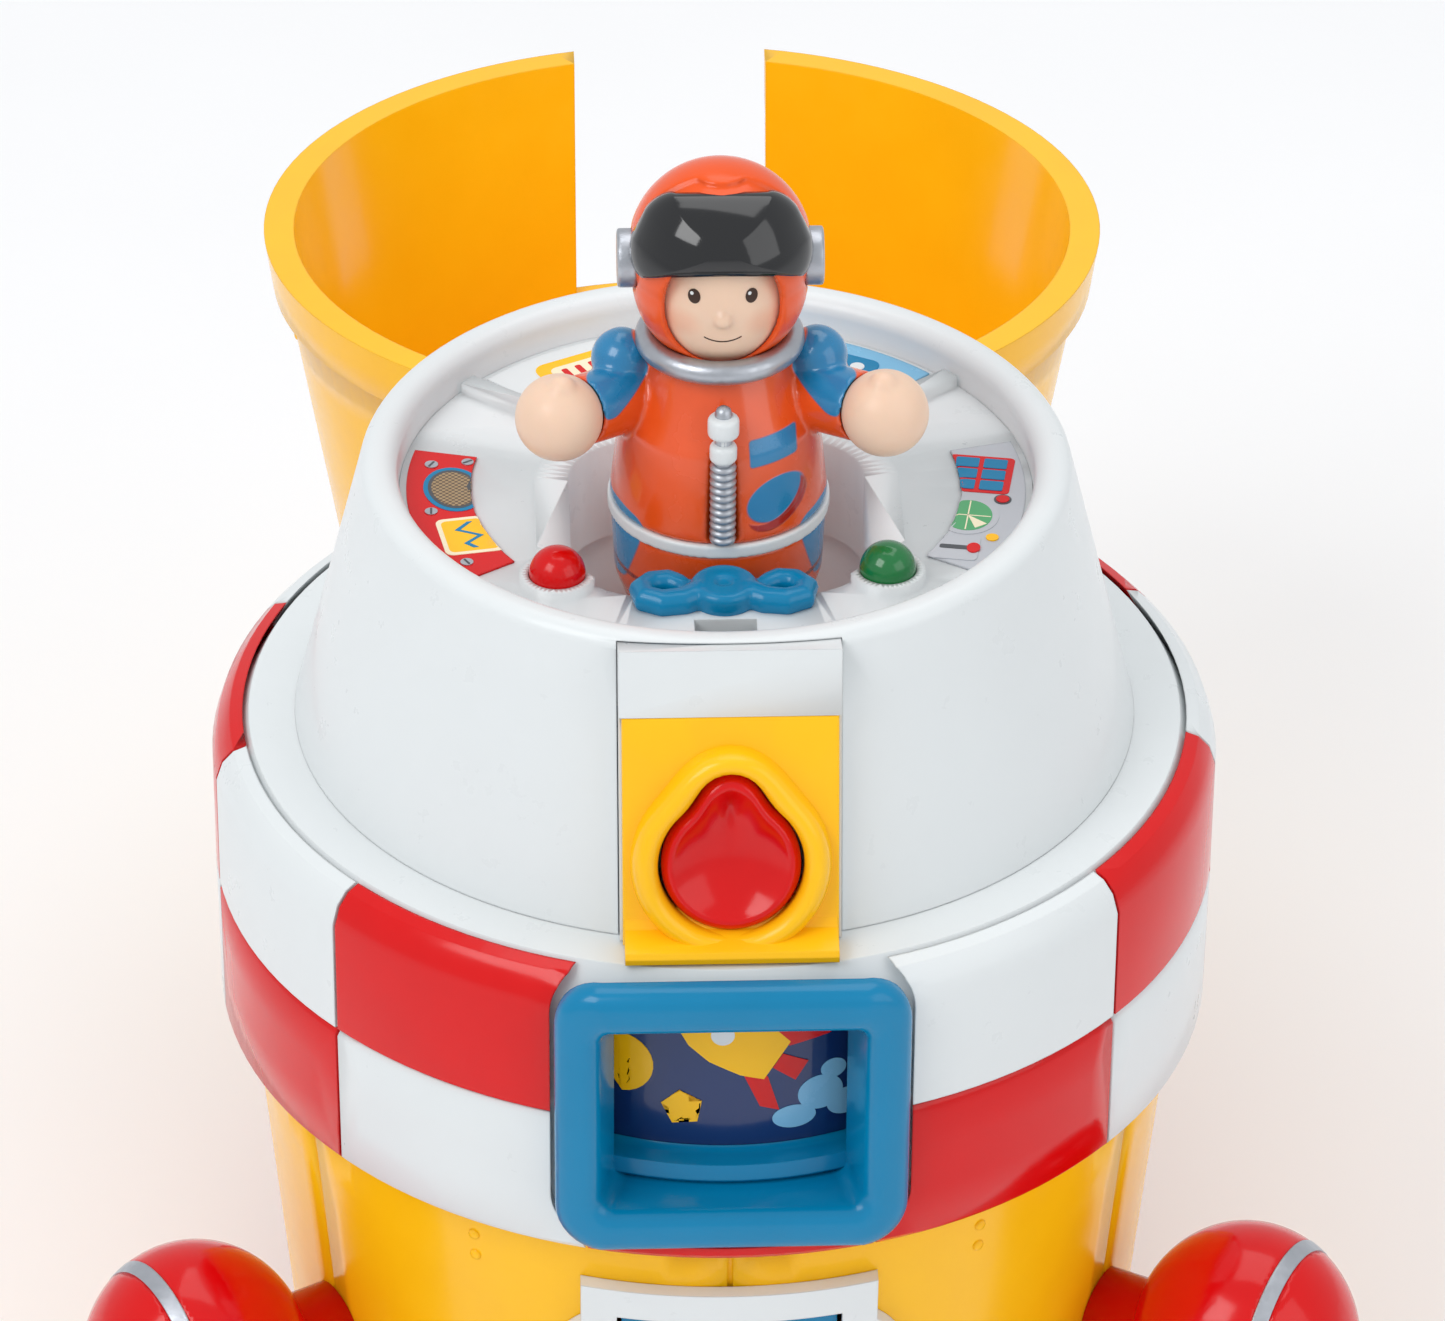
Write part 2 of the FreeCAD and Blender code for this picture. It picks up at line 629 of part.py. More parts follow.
def band():
    ring = spun("core_ring", [
        ("core_r - core_wall", BAND_Z), ("core_r", BAND_Z), ("core_r", "flange_z - 5"),
        ("flange_r + 0.4", "flange_z"), ("flange_hole_r", "flange_z"),
        ("flange_hole_r", "flange_z - flange_thick"), ("core_r - core_wall", "flange_z - flange_thick")])
    keep("band_core", cut("band_core_cut", ring, lining_block("core_window", "lining_wall + 0.15"),
                          hinge_notch("core_notch", 0.1)))
    split = "(flange_z - band_height/2)"
    upper = spun("upper_row", [
        ("core_r + seat_gap", f"{split} + tile_rows_gap/2"), ("tile_r", f"{split} + tile_rows_gap/2"),
        ("tile_r", "flange_z - 5.6"), ("tile_r - 1", "flange_z - 2.6"), ("tile_r - 2.7", "flange_z - 0.8"),
        ("flange_r + 1.3", "flange_z - 0.1"), ("core_r + seat_gap", "flange_z - 4.4")])
    lower = spun("lower_row", [
        ("core_r + seat_gap", BAND_Z), ("tile_r - 1", BAND_Z), ("tile_r - 0.2", f"{BAND_Z} + 1"),
        ("tile_r", f"{split} - tile_rows_gap/2 - 0.8"), ("tile_r - 0.6", f"{split} - tile_rows_gap/2"),
        ("core_r + seat_gap", f"{split} - tile_rows_gap/2")])
    shade = window_block("tile_window", "0.15")
    notch = hinge_notch("tile_notch", 0.1)
    rows = {"upper": cut("upper_cut", upper, shade, notch), "lower": cut("lower_cut", lower, shade, notch)}
    doc.recompute()
    step = 360 / size("tile_count")
    seam = math.degrees(size("tile_seam") / size("tile_r"))
    solids = {"red": [], "white": []}
    for row_name, row in rows.items():
        for i in range(-5, 6):
            wedge = Part.makeCylinder(90, 200, Vector(), Vector(0, 0, 1), step - seam)
            tile = row.Shape.common(turned(wedge, -90 + step * (i - 0.5) + seam / 2))
            red = (i % 2 == 0 and i > 0) or (i % 2 == 1 and i < 0)
            colour = "red" if red == (row_name == "upper") else "white"
            solids[colour] += tile.Solids
    for colour, shapes in solids.items():
        keep(f"band_tiles_{colour}", copies(f"tiles_{colour}", shapes))


def window():
    face = cut("window_face", window_block("window_outer", "0"), lining_block("window_hole", "0"))
    sleeve = tube("window_sleeve", "window_r", "core_r + seat_gap", "window_height + 2", f"{WINDOW_Z} - 1")
    lining = cut("window_lining", lining_block("lining_outer", "lining_wall"), lining_block("lining_hole", "0"))
    inner = tube("lining_sleeve", "core_r + seat_gap + 1", "lining_r", "window_height + 2", f"{WINDOW_Z} - 1")
    keep("window_frame", fuse("window_frame_done", common("window_face_in", face, sleeve),
                              common("window_lining_in", lining, inner)))


def picture_drum():
    top = "(flange_z + drum_top)"
    bottom = "(flange_z + drum_bottom)"
    inner = "(drum_r - sleeve_thick - 0.05 - drum_wall)"
    outer = "(drum_r - sleeve_thick - 0.05)"
    drum = spun("drum_body", [
        ("spindle_r + pin_play", bottom), ("ridge_r - 0.8", bottom), ("ridge_r", f"{bottom} + 0.9"),
        ("ridge_r - 0.6", f"{bottom} + ridge_height"), (outer, f"{bottom} + ridge_height + 0.6"), (outer, top),
        (inner, top), (inner, f"{bottom} + drum_wall"), ("hub_r", f"{bottom} + drum_wall"),
        ("hub_r", f"{bottom} + 20"), ("spindle_r + pin_play", f"{bottom} + 20")])
    keep("picture_drum", place(drum, 0, "drum_y", 0))
    keep("picture_sleeve", tube("sleeve_tube", "drum_r", "drum_r - sleeve_thick",
                                f"{top} - {bottom} - ridge_height - 0.8", f"{bottom} + ridge_height + 0.7",
                                0, "drum_y"))
    post = spun("spindle_body", [
        (0, f"{BAND_Z} - flange_thick - 1.2"), ("spindle_r + 2", f"{BAND_Z} - flange_thick - 1.2"),
        ("spindle_r + 2", f"{BAND_Z} - flange_thick"), ("spindle_r", f"{BAND_Z} - flange_thick"),
        ("spindle_r", BAND_Z), ("spindle_r + 3", BAND_Z), ("spindle_r + 3", f"{bottom} - 0.2"),
        ("spindle_r", f"{bottom} - 0.2"), ("spindle_r", f"{bottom} + 20.3"),
        ("spindle_r + 2", f"{bottom} + 20.3"), ("spindle_r + 2", f"{bottom} + 21.8"), (0, f"{bottom} + 21.8")])
    keep("drum_spindle", place(post, 0, "drum_y", 0))


# ---------------------------------------------------------------- cockpit

CONE_TOP = "(flange_z + cone_height)"
CONSOLE = "(flange_z + console_z)"
SLOPE = math.degrees(math.atan(SIZES["cone_slope"]))


def on_slope(thing):
    """Lay a piece drawn upright at the foot of the cone back against the cone's wall."""
    lean = Rotation(Vector(1, 0, 0), -math.degrees(math.atan(size("cone_slope"))))
    thing.Placement = Placement(Vector(0, -size("cone_r"), size("flange_z")), lean)
    return thing


def cockpit_shell():
    foot = "(flange_z + seat_gap)"
    top_r = "(cone_r - cone_slope*cone_height)"
    ledge = f"({CONSOLE} - tray_thick - 0.1)"
    shell = spun("cone_body", [
        ("cone_r", foot), (top_r, CONE_TOP), ("rim_inner_r", CONE_TOP), ("rim_inner_r", ledge),
        ("rim_inner_r - 3", ledge), ("rim_inner_r - 3", f"{ledge} - 2"),
        (f"{top_r} + cone_slope*12 - cone_wall - 1", f"{ledge} - 6"), ("cone_r - cone_wall", foot)])
    soften(shell, "rim_round", lambda e: ring_at(e, SIZES["cone_r"] - SIZES["cone_slope"] * SIZES["cone_height"],
                                                 SIZES["flange_z"] + SIZES["cone_height"])
           or ring_at(e, SIZES["rim_inner_r"], SIZES["flange_z"] + SIZES["cone_height"]))
    space = middle_box("latch_space", "latch_width + 0.3", "latch_proud + latch_deep + 2", "latch_height + 2.15",
                       "-latch_proud - 2", -2)
    keep("cockpit_shell", cut("cockpit_shell_cut", shell, on_slope(group("latch_room", space))))


def group(name, thing):
    """A wrapper, so that a piece drawn upright can be laid back as a whole."""
    wrapper = doc.addObject("Part::Compound", name)
    wrapper.Links = [thing]
    return wrapper


def well_block(name, grow, low, high):
    return slab(name, f"well_width + 2*({grow})", f"well_depth + 2*({grow})", f"({high}) - ({low})",
                f"well_corner + ({grow})", f"-well_width/2 - ({grow})",
                f"well_y - well_depth/2 - ({grow})", low, "XY_Plane")


def cockpit_tray():
    under = f"({CONSOLE} - tray_thick)"
    disc = rod("tray_disc", "rim_inner_r - 0.15", "tray_thick", z=under)
    well = well_block("well_outer", "well_wall", "flange_z + well_floor - 2", CONSOLE)
    collar = well_block("collar_block", "collar_width", under, f"{CONSOLE} + collar_height")
    front_off = box("collar_front", 100, 40, 10, -50, "well_y - 14 - 40", CONSOLE)
    parts = [disc, well, cut("collar_cut", collar, front_off)]
    for i, side in enumerate((-1, 1)):
        spoke = box(f"spoke{i}", "spoke_width", 14, "collar_height", 0, 0, 0)
        spoke.Placement = Placement(Vector(), Rotation(Vector(0, 0, 1), side * 128 + 180))
        for axis, part in (("x", f"-spoke_width/2*cos({side * 128 + 180}) - 32.5*sin({side * 128 + 180})"),
                           ("y", f"-spoke_width/2*sin({side * 128 + 180}) + 32.5*cos({side * 128 + 180})"),
                           ("z", CONSOLE)):
            spoke.setExpression(f"Placement.Base.{axis}", linked(part))
        parts.append(spoke)
        parts.append(rod(f"plinth{i}", "plinth_r", "plinth_height", f"{side}*dome_ring_r*sin(dome_angle)",
                         "-dome_ring_r*cos(dome_angle)", CONSOLE))
    holes = [well_block("well_inner", "0", "flange_z + well_floor", f"{CONSOLE} + 10"),
             middle_box("catch_slot", "slot_width", "slot_depth", 20, "slot_y - slot_depth/2", f"{CONSOLE} - 10"),
             rod("yoke_hole", "yoke_post_r + pin_play", 20, 0, "yoke_y", f"{CONSOLE} - 4")]
    for i, side in enumerate((-1, 1)):
        x = f"{side}*dome_ring_r*sin(dome_angle)"
        y = "-dome_ring_r*cos(dome_angle)"
        holes.append(rod(f"dome_pocket{i}", "dome_r + 0.15", 10, x, y, f"{CONSOLE} - 0.8"))
        holes.append(rod(f"dome_bore{i}", "stem_r + pin_play", 20, x, y, f"{CONSOLE} - 10"))
    keep("cockpit_tray", cut("cockpit_tray_cut", fuse("tray_blank", *parts), *holes))


def console_buttons():
    for colour, side in (("red", -1), ("green", 1)):
        x = f"{side}*dome_ring_r*sin(dome_angle)"
        y = "-dome_ring_r*cos(dome_angle)"
        seat = f"({CONSOLE} - 0.8 + dome_travel + 0.2)"
        cap = common(f"{colour}_cap", ball(f"{colour}_ball", "dome_r", x, y, f"{CONSOLE} + 1.6"),
                     rod(f"{colour}_limit", "dome_r + 1", 10, x, y, f"{CONSOLE} + 1.6"))
        skirt = rod(f"{colour}_skirt", "dome_r", f"{CONSOLE} + 1.7 - {seat}", x, y, seat)
        stem = rod(f"{colour}_stem", "stem_r", 6, x, y, f"{seat} - 5")
        keep(f"dome_button_{colour}", fuse(f"{colour}_button", cap, skirt, stem))
    parts = [rod("yoke_hub", "yoke_lobe_r + 0.8", "yoke_thick", 0, "yoke_y", f"{CONSOLE} + 0.3")]
    parts.append(rod("yoke_post", "yoke_post_r", 3, 0, "yoke_y", f"{CONSOLE} - 2"))
    for i, side in enumerate((-1, 1)):
        parts.append(cut(f"yoke_handle{i}",
                         rod(f"yoke_lobe{i}", "yoke_lobe_r", "yoke_thick", f"{side}*yoke_half", "yoke_y",
                             f"{CONSOLE} + 0.3"),
                         rod(f"yoke_gap{i}", "yoke_lobe_r - 2.6", "yoke_thick + 4", f"{side}*yoke_half",
                             "yoke_y + 0.6", f"{CONSOLE} - 1")))
    keep("steering_yoke", fuse("yoke_done", *parts))


LABELS = {"label_speaker": (-104, -56), "label_radar": (56, 104), "label_rear_left": (-172, -133),
          "label_rear_right": (133, 172)}


def labels():
    doc.recompute()
    hole = well_block("label_clear", "collar_width + 0.2", "flange_z", f"{CONSOLE} + 10")
    doc.recompute()
    for name, (start, end) in LABELS.items():
        sector = Part.makeCylinder(size("label_outer_r"), size("label_thick"),
                                   Vector(0, 0, size("flange_z") + size("console_z") + 0.02),
                                   Vector(0, 0, 1), end - start)
        bore = Part.makeCylinder(size("label_inner_r"), 2,
                                 Vector(0, 0, size("flange_z") + size("console_z") - 1))
        keep(name, copies(name + "_film", turned(sector.cut(bore), start - 90).cut(hole.Shape).Solids[:1]))


# ---------------------------------------------------------------- latch

PLATE_FRONT = "(-latch_proud - 1.2)"


def pear(name, grow, deep, y):
    """A pear outline as a block that runs from y towards the front, in the latch's leaning frame."""
    big = rod(name + "_big", f"pear_r + ({grow})", deep, 0, y, "pear_z", "-Y")
    tip = rod(name + "_tip", f"pear_tip_r + ({grow})", deep, 0, y, "pear_tip_z", "-Y")
    waist = middle_box(name + "_waist", f"2*(pear_tip_r + 1 + ({grow}))", deep, "pear_tip_z - pear_z",
                       f"{y} - ({deep})", "pear_z")
    return fuse(name, big, tip, waist)


def under_flange(name):
    """The space that nothing on the flange may reach into."""
    return middle_box(name, 200, 200, 40, -100, "flange_z - 40 + seat_gap")


def latch():
    block = middle_box("bracket_block", "latch_width", "latch_deep", "latch_height - 0.5", "-0.2", "0.5")
    cap = middle_box("bracket_cap", "latch_width", "latch_proud + 1", "cap_height",
                     "-latch_proud", "latch_height - cap_height")
    pocket = pear("bracket_pocket", "button_skirt + button_gap", "latch_deep - 1.2", "latch_deep - 1.4")
    bore = rod("bracket_bore", "button_stem_r + pin_play", 20, 0, "-2", "pear_z", "Y")
    hollow = middle_box("bracket_hollow", "latch_width + 2", "latch_deep", "latch_height", "latch_deep - 3.2",
                        "pear_tip_z + pear_tip_r + 4")
    blank = on_slope(cut("latch_bracket_blank", fuse("bracket_blank", block, cap), pocket, bore, hollow))
    keep("latch_bracket", cut("latch_bracket_cut", blank, under_flange("bracket_under")))
    face = "(-0.3 - latch_plate_thick)"
    sheet_block = middle_box("plate_block", "plate_width", "latch_plate_thick",
                             "latch_height - cap_height - 0.3 - 0.5", face, "0.5")
    lip = middle_box("plate_lip", "plate_width", "lip_proud + 0.5", "lip_height", f"{face} - lip_proud", "0.6 + lip_proud*cone_slope")
    ring = pear("plate_ring", "ring_width", "ring_proud + 0.5", f"{face} + 0.5")
    hole = pear("plate_hole", "button_gap", 20, 5)
    blank = on_slope(cut("latch_plate_blank", fuse("plate_blank", sheet_block, lip, ring), hole))
    keep("latch_plate", cut("latch_plate_cut", blank, under_flange("plate_under")))
    front = f"({face} - ring_proud + button_sunk)"
    knob = pear("button_knob", "0", f"0.6 - {front}", "0.6")
    skirt = pear("button_flange", "button_skirt", "1.2", "1.4")
    stem = rod("button_rod", "button_stem_r", "button_stem", 0, 1, "pear_z", "Y")
    keep("latch_button", on_slope(fuse("latch_button_done", knob, skirt, stem)))
    keep("latch_spring", on_slope(spring()))
    catch()


def spring():
    """A helical spring round the stem, between the button's flange and the floor of its pocket."""
    start = 1.4 + size("spring_wire_r") + 0.1
    length = size("latch_deep") - 1.4 - start - size("spring_wire_r") - 0.1
    steps = int(12 * size("spring_turns"))
    path = Part.BSplineCurve()
    path.interpolate([Vector(size("spring_r") * math.cos(math.tau * k / 12), start + length * k / steps,
                             size("pear_z") + size("spring_r") * math.sin(math.tau * k / 12))
                      for k in range(steps + 1)])
    first = path.tangent(path.FirstParameter)[0]
    profile = Part.Wire(Part.makeCircle(size("spring_wire_r"), path.StartPoint, first))
    thing = doc.addObject("Part::Feature", "spring_coil")
    thing.Shape = Part.makeCompound([Part.Wire(path.toShape()).makePipeShell([profile], True, True)])
    return thing


def catch():
    """The grey catch that the button's stem carries up under the slot in the console."""
    lean = math.atan(size("cone_slope"))
    reach = 1 + size("button_stem")
    end_y = -size("cone_r") + reach * math.cos(lean) + size("pear_z") * math.sin(lean)
    end_z = size("flange_z") - reach * math.sin(lean) + size("pear_z") * math.cos(lean)
    low = end_z - size("button_stem_r") - 1.5
    high = size("flange_z") + size("console_z") - size("tray_thick") - 0.6
    start_y = end_y + size("button_stem_r") * math.sin(lean) + 0.1
    thing = doc.addObject("Part::Feature", "catch_blade")
    thing.Shape = Part.makeBox(7, 1.6, high - low, Vector(-3.5, start_y, low))
    keep("latch_catch", thing)


# ---------------------------------------------------------------- nose cone

def nose_core(name, foot_r, shift):
    """A slanted wall that runs tangent into a round top, about the rocket's axis and closed."""
    ball_r = f"(({foot_r}) - nose_slope*nose_dome_z)/sqrt(1 + nose_slope^2)"
    join = f"(nose_dome_z + {ball_r}*nose_slope/sqrt(1 + nose_slope^2))"
    foot = f"(flange_z + nose_gap + {shift})"
    wall = cone(name + "_wall", foot_r, f"({foot_r}) - nose_slope*{join}", join, foot)
    dome = ball(name + "_ball", ball_r, 0, 0, f"{foot} + nose_dome_z")
    upper = rod(name + "_upper", f"{ball_r} + 5", f"{ball_r} + 5", 0, 0, f"{foot} + {join} - 0.01")
    return fuse(name, wall, common(name + "_dome", dome, upper))


def nose():
    foot = "(flange_z + nose_gap)"
    lip = cone("nose_lip", "nose_rim_r", "nose_rim_r - 1.3", "lip_band - 1.2", foot)
    lip_top = cone("nose_lip_top", "nose_rim_r - 1.3", "nose_rim_r - 2.9", "1.4", f"{foot} + lip_band - 1.2")
    outer = fuse("nose_outer", nose_core("nose_skin", "nose_r", 0), lip, lip_top)
    inner = nose_core("nose_room", "nose_inner_r", -0.01)
    slot = middle_box("nose_slot", "nose_slot_width", 60, "nose_slot_height + 5", "-90", f"{foot} - 5")
    shell = cut("nose_shell_cut", outer, inner, slot)
    half = "knuckle_half"
    barrel = rod("nose_barrel", "hinge_barrel_r", f"2*{half}", f"-{half}", "hinge_y", "flange_z + hinge_z", "X")
    link = box("nose_link", f"2*{half}", "hinge_y - nose_rim_r + 1", "hinge_barrel_r + 0.6", f"-{half}",
               "nose_rim_r - 1", "flange_z + hinge_z - hinge_barrel_r/2")
    bore = rod("nose_bore", "hinge_pin_r + pin_play", 60, -30, "hinge_y", "flange_z + hinge_z", "X")
    whole = fuse("nose_blank", shell, barrel, link)
    closed = cut("nose_closed", whole, bore)
    axis = Vector(0, size("hinge_y"), size("flange_z") + size("hinge_z"))
    closed.Placement = Placement(Vector(), Rotation(Vector(1, 0, 0), -size("hinge_open")), axis)
    keep("nose_cone", closed)


def hinge():
    half = "(knuckle_half + ear_gap + ear_width)"
    foot = box("hinge_foot", f"2*{half}", "hinge_y + hinge_barrel_r - flange_r + 1.2", 2.4, f"-{half}",
               "flange_r - 1.4", NOTCH_Z)
    parts = [foot]
    for i, side in enumerate((-1, 1)):
        x = f"{side}*(knuckle_half + ear_gap + ear_width/2) - ear_width/2"
        parts.append(box(f"ear_box{i}", "ear_width", "2*hinge_barrel_r - 0.4", "flange_z + hinge_z - " + NOTCH_Z,
                         x, "hinge_y - hinge_barrel_r + 0.2", NOTCH_Z))
        parts.append(rod(f"ear_top{i}", "hinge_barrel_r - 0.2", "ear_width", x, "hinge_y",
                         "flange_z + hinge_z", "X"))
    dip = rod("hinge_dip", "hinge_barrel_r + 0.4", "2*knuckle_half + 2*ear_gap", "-knuckle_half - ear_gap",
              "hinge_y", "flange_z + hinge_z", "X")
    bore = rod("ear_bore", "hinge_pin_r", 60, -30, "hinge_y", "flange_z + hinge_z", "X")
    keep("hinge_bracket", cut("hinge_bracket_cut", fuse("hinge_blank", *parts), dip, bore))
    keep("hinge_pin", rod("hinge_pin_rod", "hinge_pin_r", f"2*{half}", f"-{half}", "hinge_y",
                          "flange_z + hinge_z", "X"))


# ---------------------------------------------------------------- astronaut

FIGURE_FOOT = "(flange_z + well_floor + 0.05)"


def figure():
    torso = spun("torso_body", [
        (0, FIGURE_FOOT), ("torso_r - 3", FIGURE_FOOT), ("torso_r - 0.6", f"{FIGURE_FOOT} + 7"),
        ("torso_r", f"{FIGURE_FOOT} + 20"), ("torso_r - 1.4", f"{FIGURE_FOOT} + 33"),
        ("torso_r - 5", f"flange_z + torso_top - 3"), ("ring_r - 1", "flange_z + torso_top"),
        (0, "flange_z + torso_top")])
    place(torso, 0, "figure_y", 0)
    arms = []
    shoulder_x = SIZES["torso_r"] - 4.5
    for i, side in enumerate((-1, 1)):
        start = Vector(side * shoulder_x, size("figure_y"), size("flange_z") + size("torso_top") - 8)
        end = Vector(side * size("hand_x"), size("hand_y"), size("flange_z") + size("hand_z"))
        arm = doc.addObject("Part::Cylinder", f"figure_arm{i}")
        bind(arm, Radius="sleeve_r")
        arm.Height = (end - start).Length
        arm.Placement = Placement(start, Rotation(Vector(0, 0, 1), end - start))
        arms.append(arm)
        arms.append(ball(f"figure_shoulder{i}", "sleeve_r", f"{side}*(torso_r - 4.5)", "figure_y",
                         "flange_z + torso_top - 8"))
    hands = [ball(f"hand{i}", "hand_r", f"{side}*hand_x", "hand_y", "flange_z + hand_z")
             for i, side in enumerate((-1, 1))]
    hand_space = [ball(f"hand_space{i}", "hand_r + figure_gap", f"{side}*hand_x", "hand_y", "flange_z + hand_z")
                  for i, side in enumerate((-1, 1))]
    belt_z = f"({FIGURE_FOOT} + 17.2)"
    belt_space = tube("belt_space", "torso_r + 3", "torso_r - 1.1", 2.2, f"{belt_z} - 0.1", 0, "figure_y")
    hose_space = rod("hose_space", 2.2, 24, 0, "figure_y - torso_r + 0.6", f"{FIGURE_FOOT} + 19.6")
    keep("figure_suit", cut("figure_suit_cut", fuse("suit_blank", torso, *arms), *hand_space, belt_space,
                            hose_space))
    doc.recompute()
    keep("figure_hands", copies("hand_pair", [hand.Shape for hand in hands]))
    keep("figure_belt", tube("belt_ring", "torso_r + 0.35", "torso_r - 1", 2, belt_z, 0, "figure_y"))
    keep("figure_hose", rod("hose_rod", 2.1, 23.4, 0, "figure_y - torso_r + 0.6", f"{FIGURE_FOOT} + 19.7"))
    keep("figure_neck_ring", cut("neck_ring_cut",
                                 hoop("neck_hoop", "ring_r", "ring_tube_r", 0, "figure_y - 0.5", "flange_z + ring_z"),
                                 rod("neck_under", 20, 5, 0, "figure_y", "flange_z + torso_top - 4.95")))
    head = egg("head_egg", "head_r + 0.4", "head_r - 1", 0, "figure_y - 1.2", "flange_z + head_z")
    neck_space = hoop("neck_space", "ring_r", "ring_tube_r + figure_gap", 0, "figure_y - 0.5", "flange_z + ring_z")
    torso_top = rod("neck_floor", 20, 5, 0, "figure_y", "flange_z + torso_top - 4.95")
    keep("figure_head", cut("figure_head_cut", head, neck_space, torso_top))
    shell = fuse("helmet_blank", ball("helmet_ball", "helmet_r", 0, "figure_y", "flange_z + helmet_z"),
                 egg("helmet_low", "head_r + 1.5", "head_r + 1.2", 0, "figure_y - 0.2", "flange_z + head_z + 0.5"))
    room = egg("helmet_room", "head_r + 0.5", "head_r - 0.9", 0, "figure_y - 1.2", "flange_z + head_z")
    face = egg("helmet_face", "head_r - 1", "head_r - 2.6", 0, "figure_y - 12", "flange_z + head_z + 0.5")
    visor_space = visor_solid("visor_space", "figure_gap")
    ears_space = rod("ear_space", 4.4, 60, -30, "figure_y", "flange_z + helmet_z - 1.5", "X")
    ear_core = rod("ear_core", 10, "2*helmet_r - 3", "-helmet_r + 1.5", "figure_y", "flange_z + helmet_z - 1.5", "X")
    hollow = cut("helmet_hollow", shell, room)
    opened = cut("helmet_opened", hollow, face)
    footed = cut("helmet_footed", opened, torso_floor_copy())
    collared = cut("helmet_collared", footed, neck_space_copy())
    visored = cut("helmet_visored", collared, visor_space)
    keep("figure_helmet", cut("figure_helmet_cut", visored, cut("ear_slots", ears_space, ear_core)))
    keep("figure_visor", visor_solid("visor_done", "0"))
    ears = []
    for i, side in enumerate((-1, 1)):
        ears.append(rod(f"ear{i}", 4.3, 3, f"{side}*(helmet_r + 0.15) - 1.5", "figure_y",
                        "flange_z + helmet_z - 1.5", "X"))
    doc.recompute()
    keep("figure_earpieces", copies("ear_pair", [ear.Shape for ear in ears]))


def neck_space_copy():
    return hoop("neck_space_two", "ring_r", "ring_tube_r + figure_gap", 0, "figure_y - 0.5", "flange_z + ring_z")


def torso_floor_copy():
    return rod("neck_floor_two", 20, 5, 0, "figure_y", "flange_z + torso_top - 4.95")


def visor_solid(name, grow):
    """The dark visor, a curved plate across the forehead of the helmet."""
    skin = cut(name + "_skin", ball(name + "_out", f"helmet_r + 1.2 + ({grow})", 0, "figure_y", "flange_z + helmet_z"),
               ball(name + "_in", f"helmet_r - 0.6 - ({grow})", 0, "figure_y", "flange_z + helmet_z"))
    window = slab(name + "_shape", f"22 + 2*({grow})", f"11 + 2*({grow})", 30, 4, f"-11 - ({grow})",
                  "figure_y - 2", f"flange_z + helmet_z + 1.6 - ({grow})")
    return common(name, skin, window)


# ---------------------------------------------------------------- build, check and write

lower_body()
base()
cargo_bay()
boosters()
band()
window()
picture_drum()
cockpit_shell()
cockpit_tray()
console_buttons()
labels()
latch()
nose()
hinge()
figure()
doc.recompute()

for thing in doc.Objects:
    if "Invalid" in thing.State or "Error" in thing.State:
        raise RuntimeError(f"{thing.Label} did not build: {thing.State}")
for name, thing in NODES.items():
    if thing.Shape.isNull() or not thing.Shape.isValid() or not thing.Shape.Solids:
        raise RuntimeError(f"{name} has no valid shape")

os.makedirs("parts", exist_ok=True)
for name, thing in NODES.items():
    thing.Shape.exportStep(f"parts/{name}.step")
    box_of = thing.Shape.BoundBox
    print(f"{name:22s} solids {len(thing.Shape.Solids):3d}  volume {thing.Shape.Volume / 1000:8.2f} cm3  "
          f"z {box_of.ZMin:6.1f} to {box_of.ZMax:6.1f}")
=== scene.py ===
# %% [markdown]
# # A toy space rocket with a hinged nose
# This lesson builds the looks of a moulded plastic toy on top of a measured model.
# The measured model says where every piece is and how it moves, so it is loaded first and never changed.
# Each visible piece is then either given a better finish or replaced by a finer mesh that moves with the same body.

# %% Load the measured model
import json
import math

import bmesh
import bpy
from mathutils import Matrix, Vector
from mathutils.bvhtree import BVHTree


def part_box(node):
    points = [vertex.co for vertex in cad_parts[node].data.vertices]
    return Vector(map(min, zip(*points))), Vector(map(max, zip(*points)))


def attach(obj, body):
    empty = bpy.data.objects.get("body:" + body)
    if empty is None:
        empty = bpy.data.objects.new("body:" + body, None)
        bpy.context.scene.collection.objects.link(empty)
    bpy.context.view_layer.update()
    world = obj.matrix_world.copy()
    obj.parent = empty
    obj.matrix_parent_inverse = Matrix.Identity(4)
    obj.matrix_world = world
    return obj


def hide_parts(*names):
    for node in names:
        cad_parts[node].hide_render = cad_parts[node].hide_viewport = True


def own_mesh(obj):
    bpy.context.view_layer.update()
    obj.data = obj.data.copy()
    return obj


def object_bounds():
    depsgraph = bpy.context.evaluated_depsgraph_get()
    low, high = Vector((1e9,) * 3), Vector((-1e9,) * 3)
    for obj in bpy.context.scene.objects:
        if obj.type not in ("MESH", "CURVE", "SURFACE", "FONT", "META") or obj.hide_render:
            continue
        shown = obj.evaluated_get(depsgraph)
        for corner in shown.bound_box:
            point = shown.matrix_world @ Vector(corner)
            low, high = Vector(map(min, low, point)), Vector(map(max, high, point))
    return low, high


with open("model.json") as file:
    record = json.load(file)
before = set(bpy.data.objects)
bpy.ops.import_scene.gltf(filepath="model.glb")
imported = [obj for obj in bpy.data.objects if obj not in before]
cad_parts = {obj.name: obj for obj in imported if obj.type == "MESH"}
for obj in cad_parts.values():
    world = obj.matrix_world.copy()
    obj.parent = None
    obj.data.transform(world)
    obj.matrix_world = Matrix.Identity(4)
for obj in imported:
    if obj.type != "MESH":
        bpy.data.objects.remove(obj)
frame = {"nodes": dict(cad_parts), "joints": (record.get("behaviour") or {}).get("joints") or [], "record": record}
measured_low, measured_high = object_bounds()
MM = 0.001

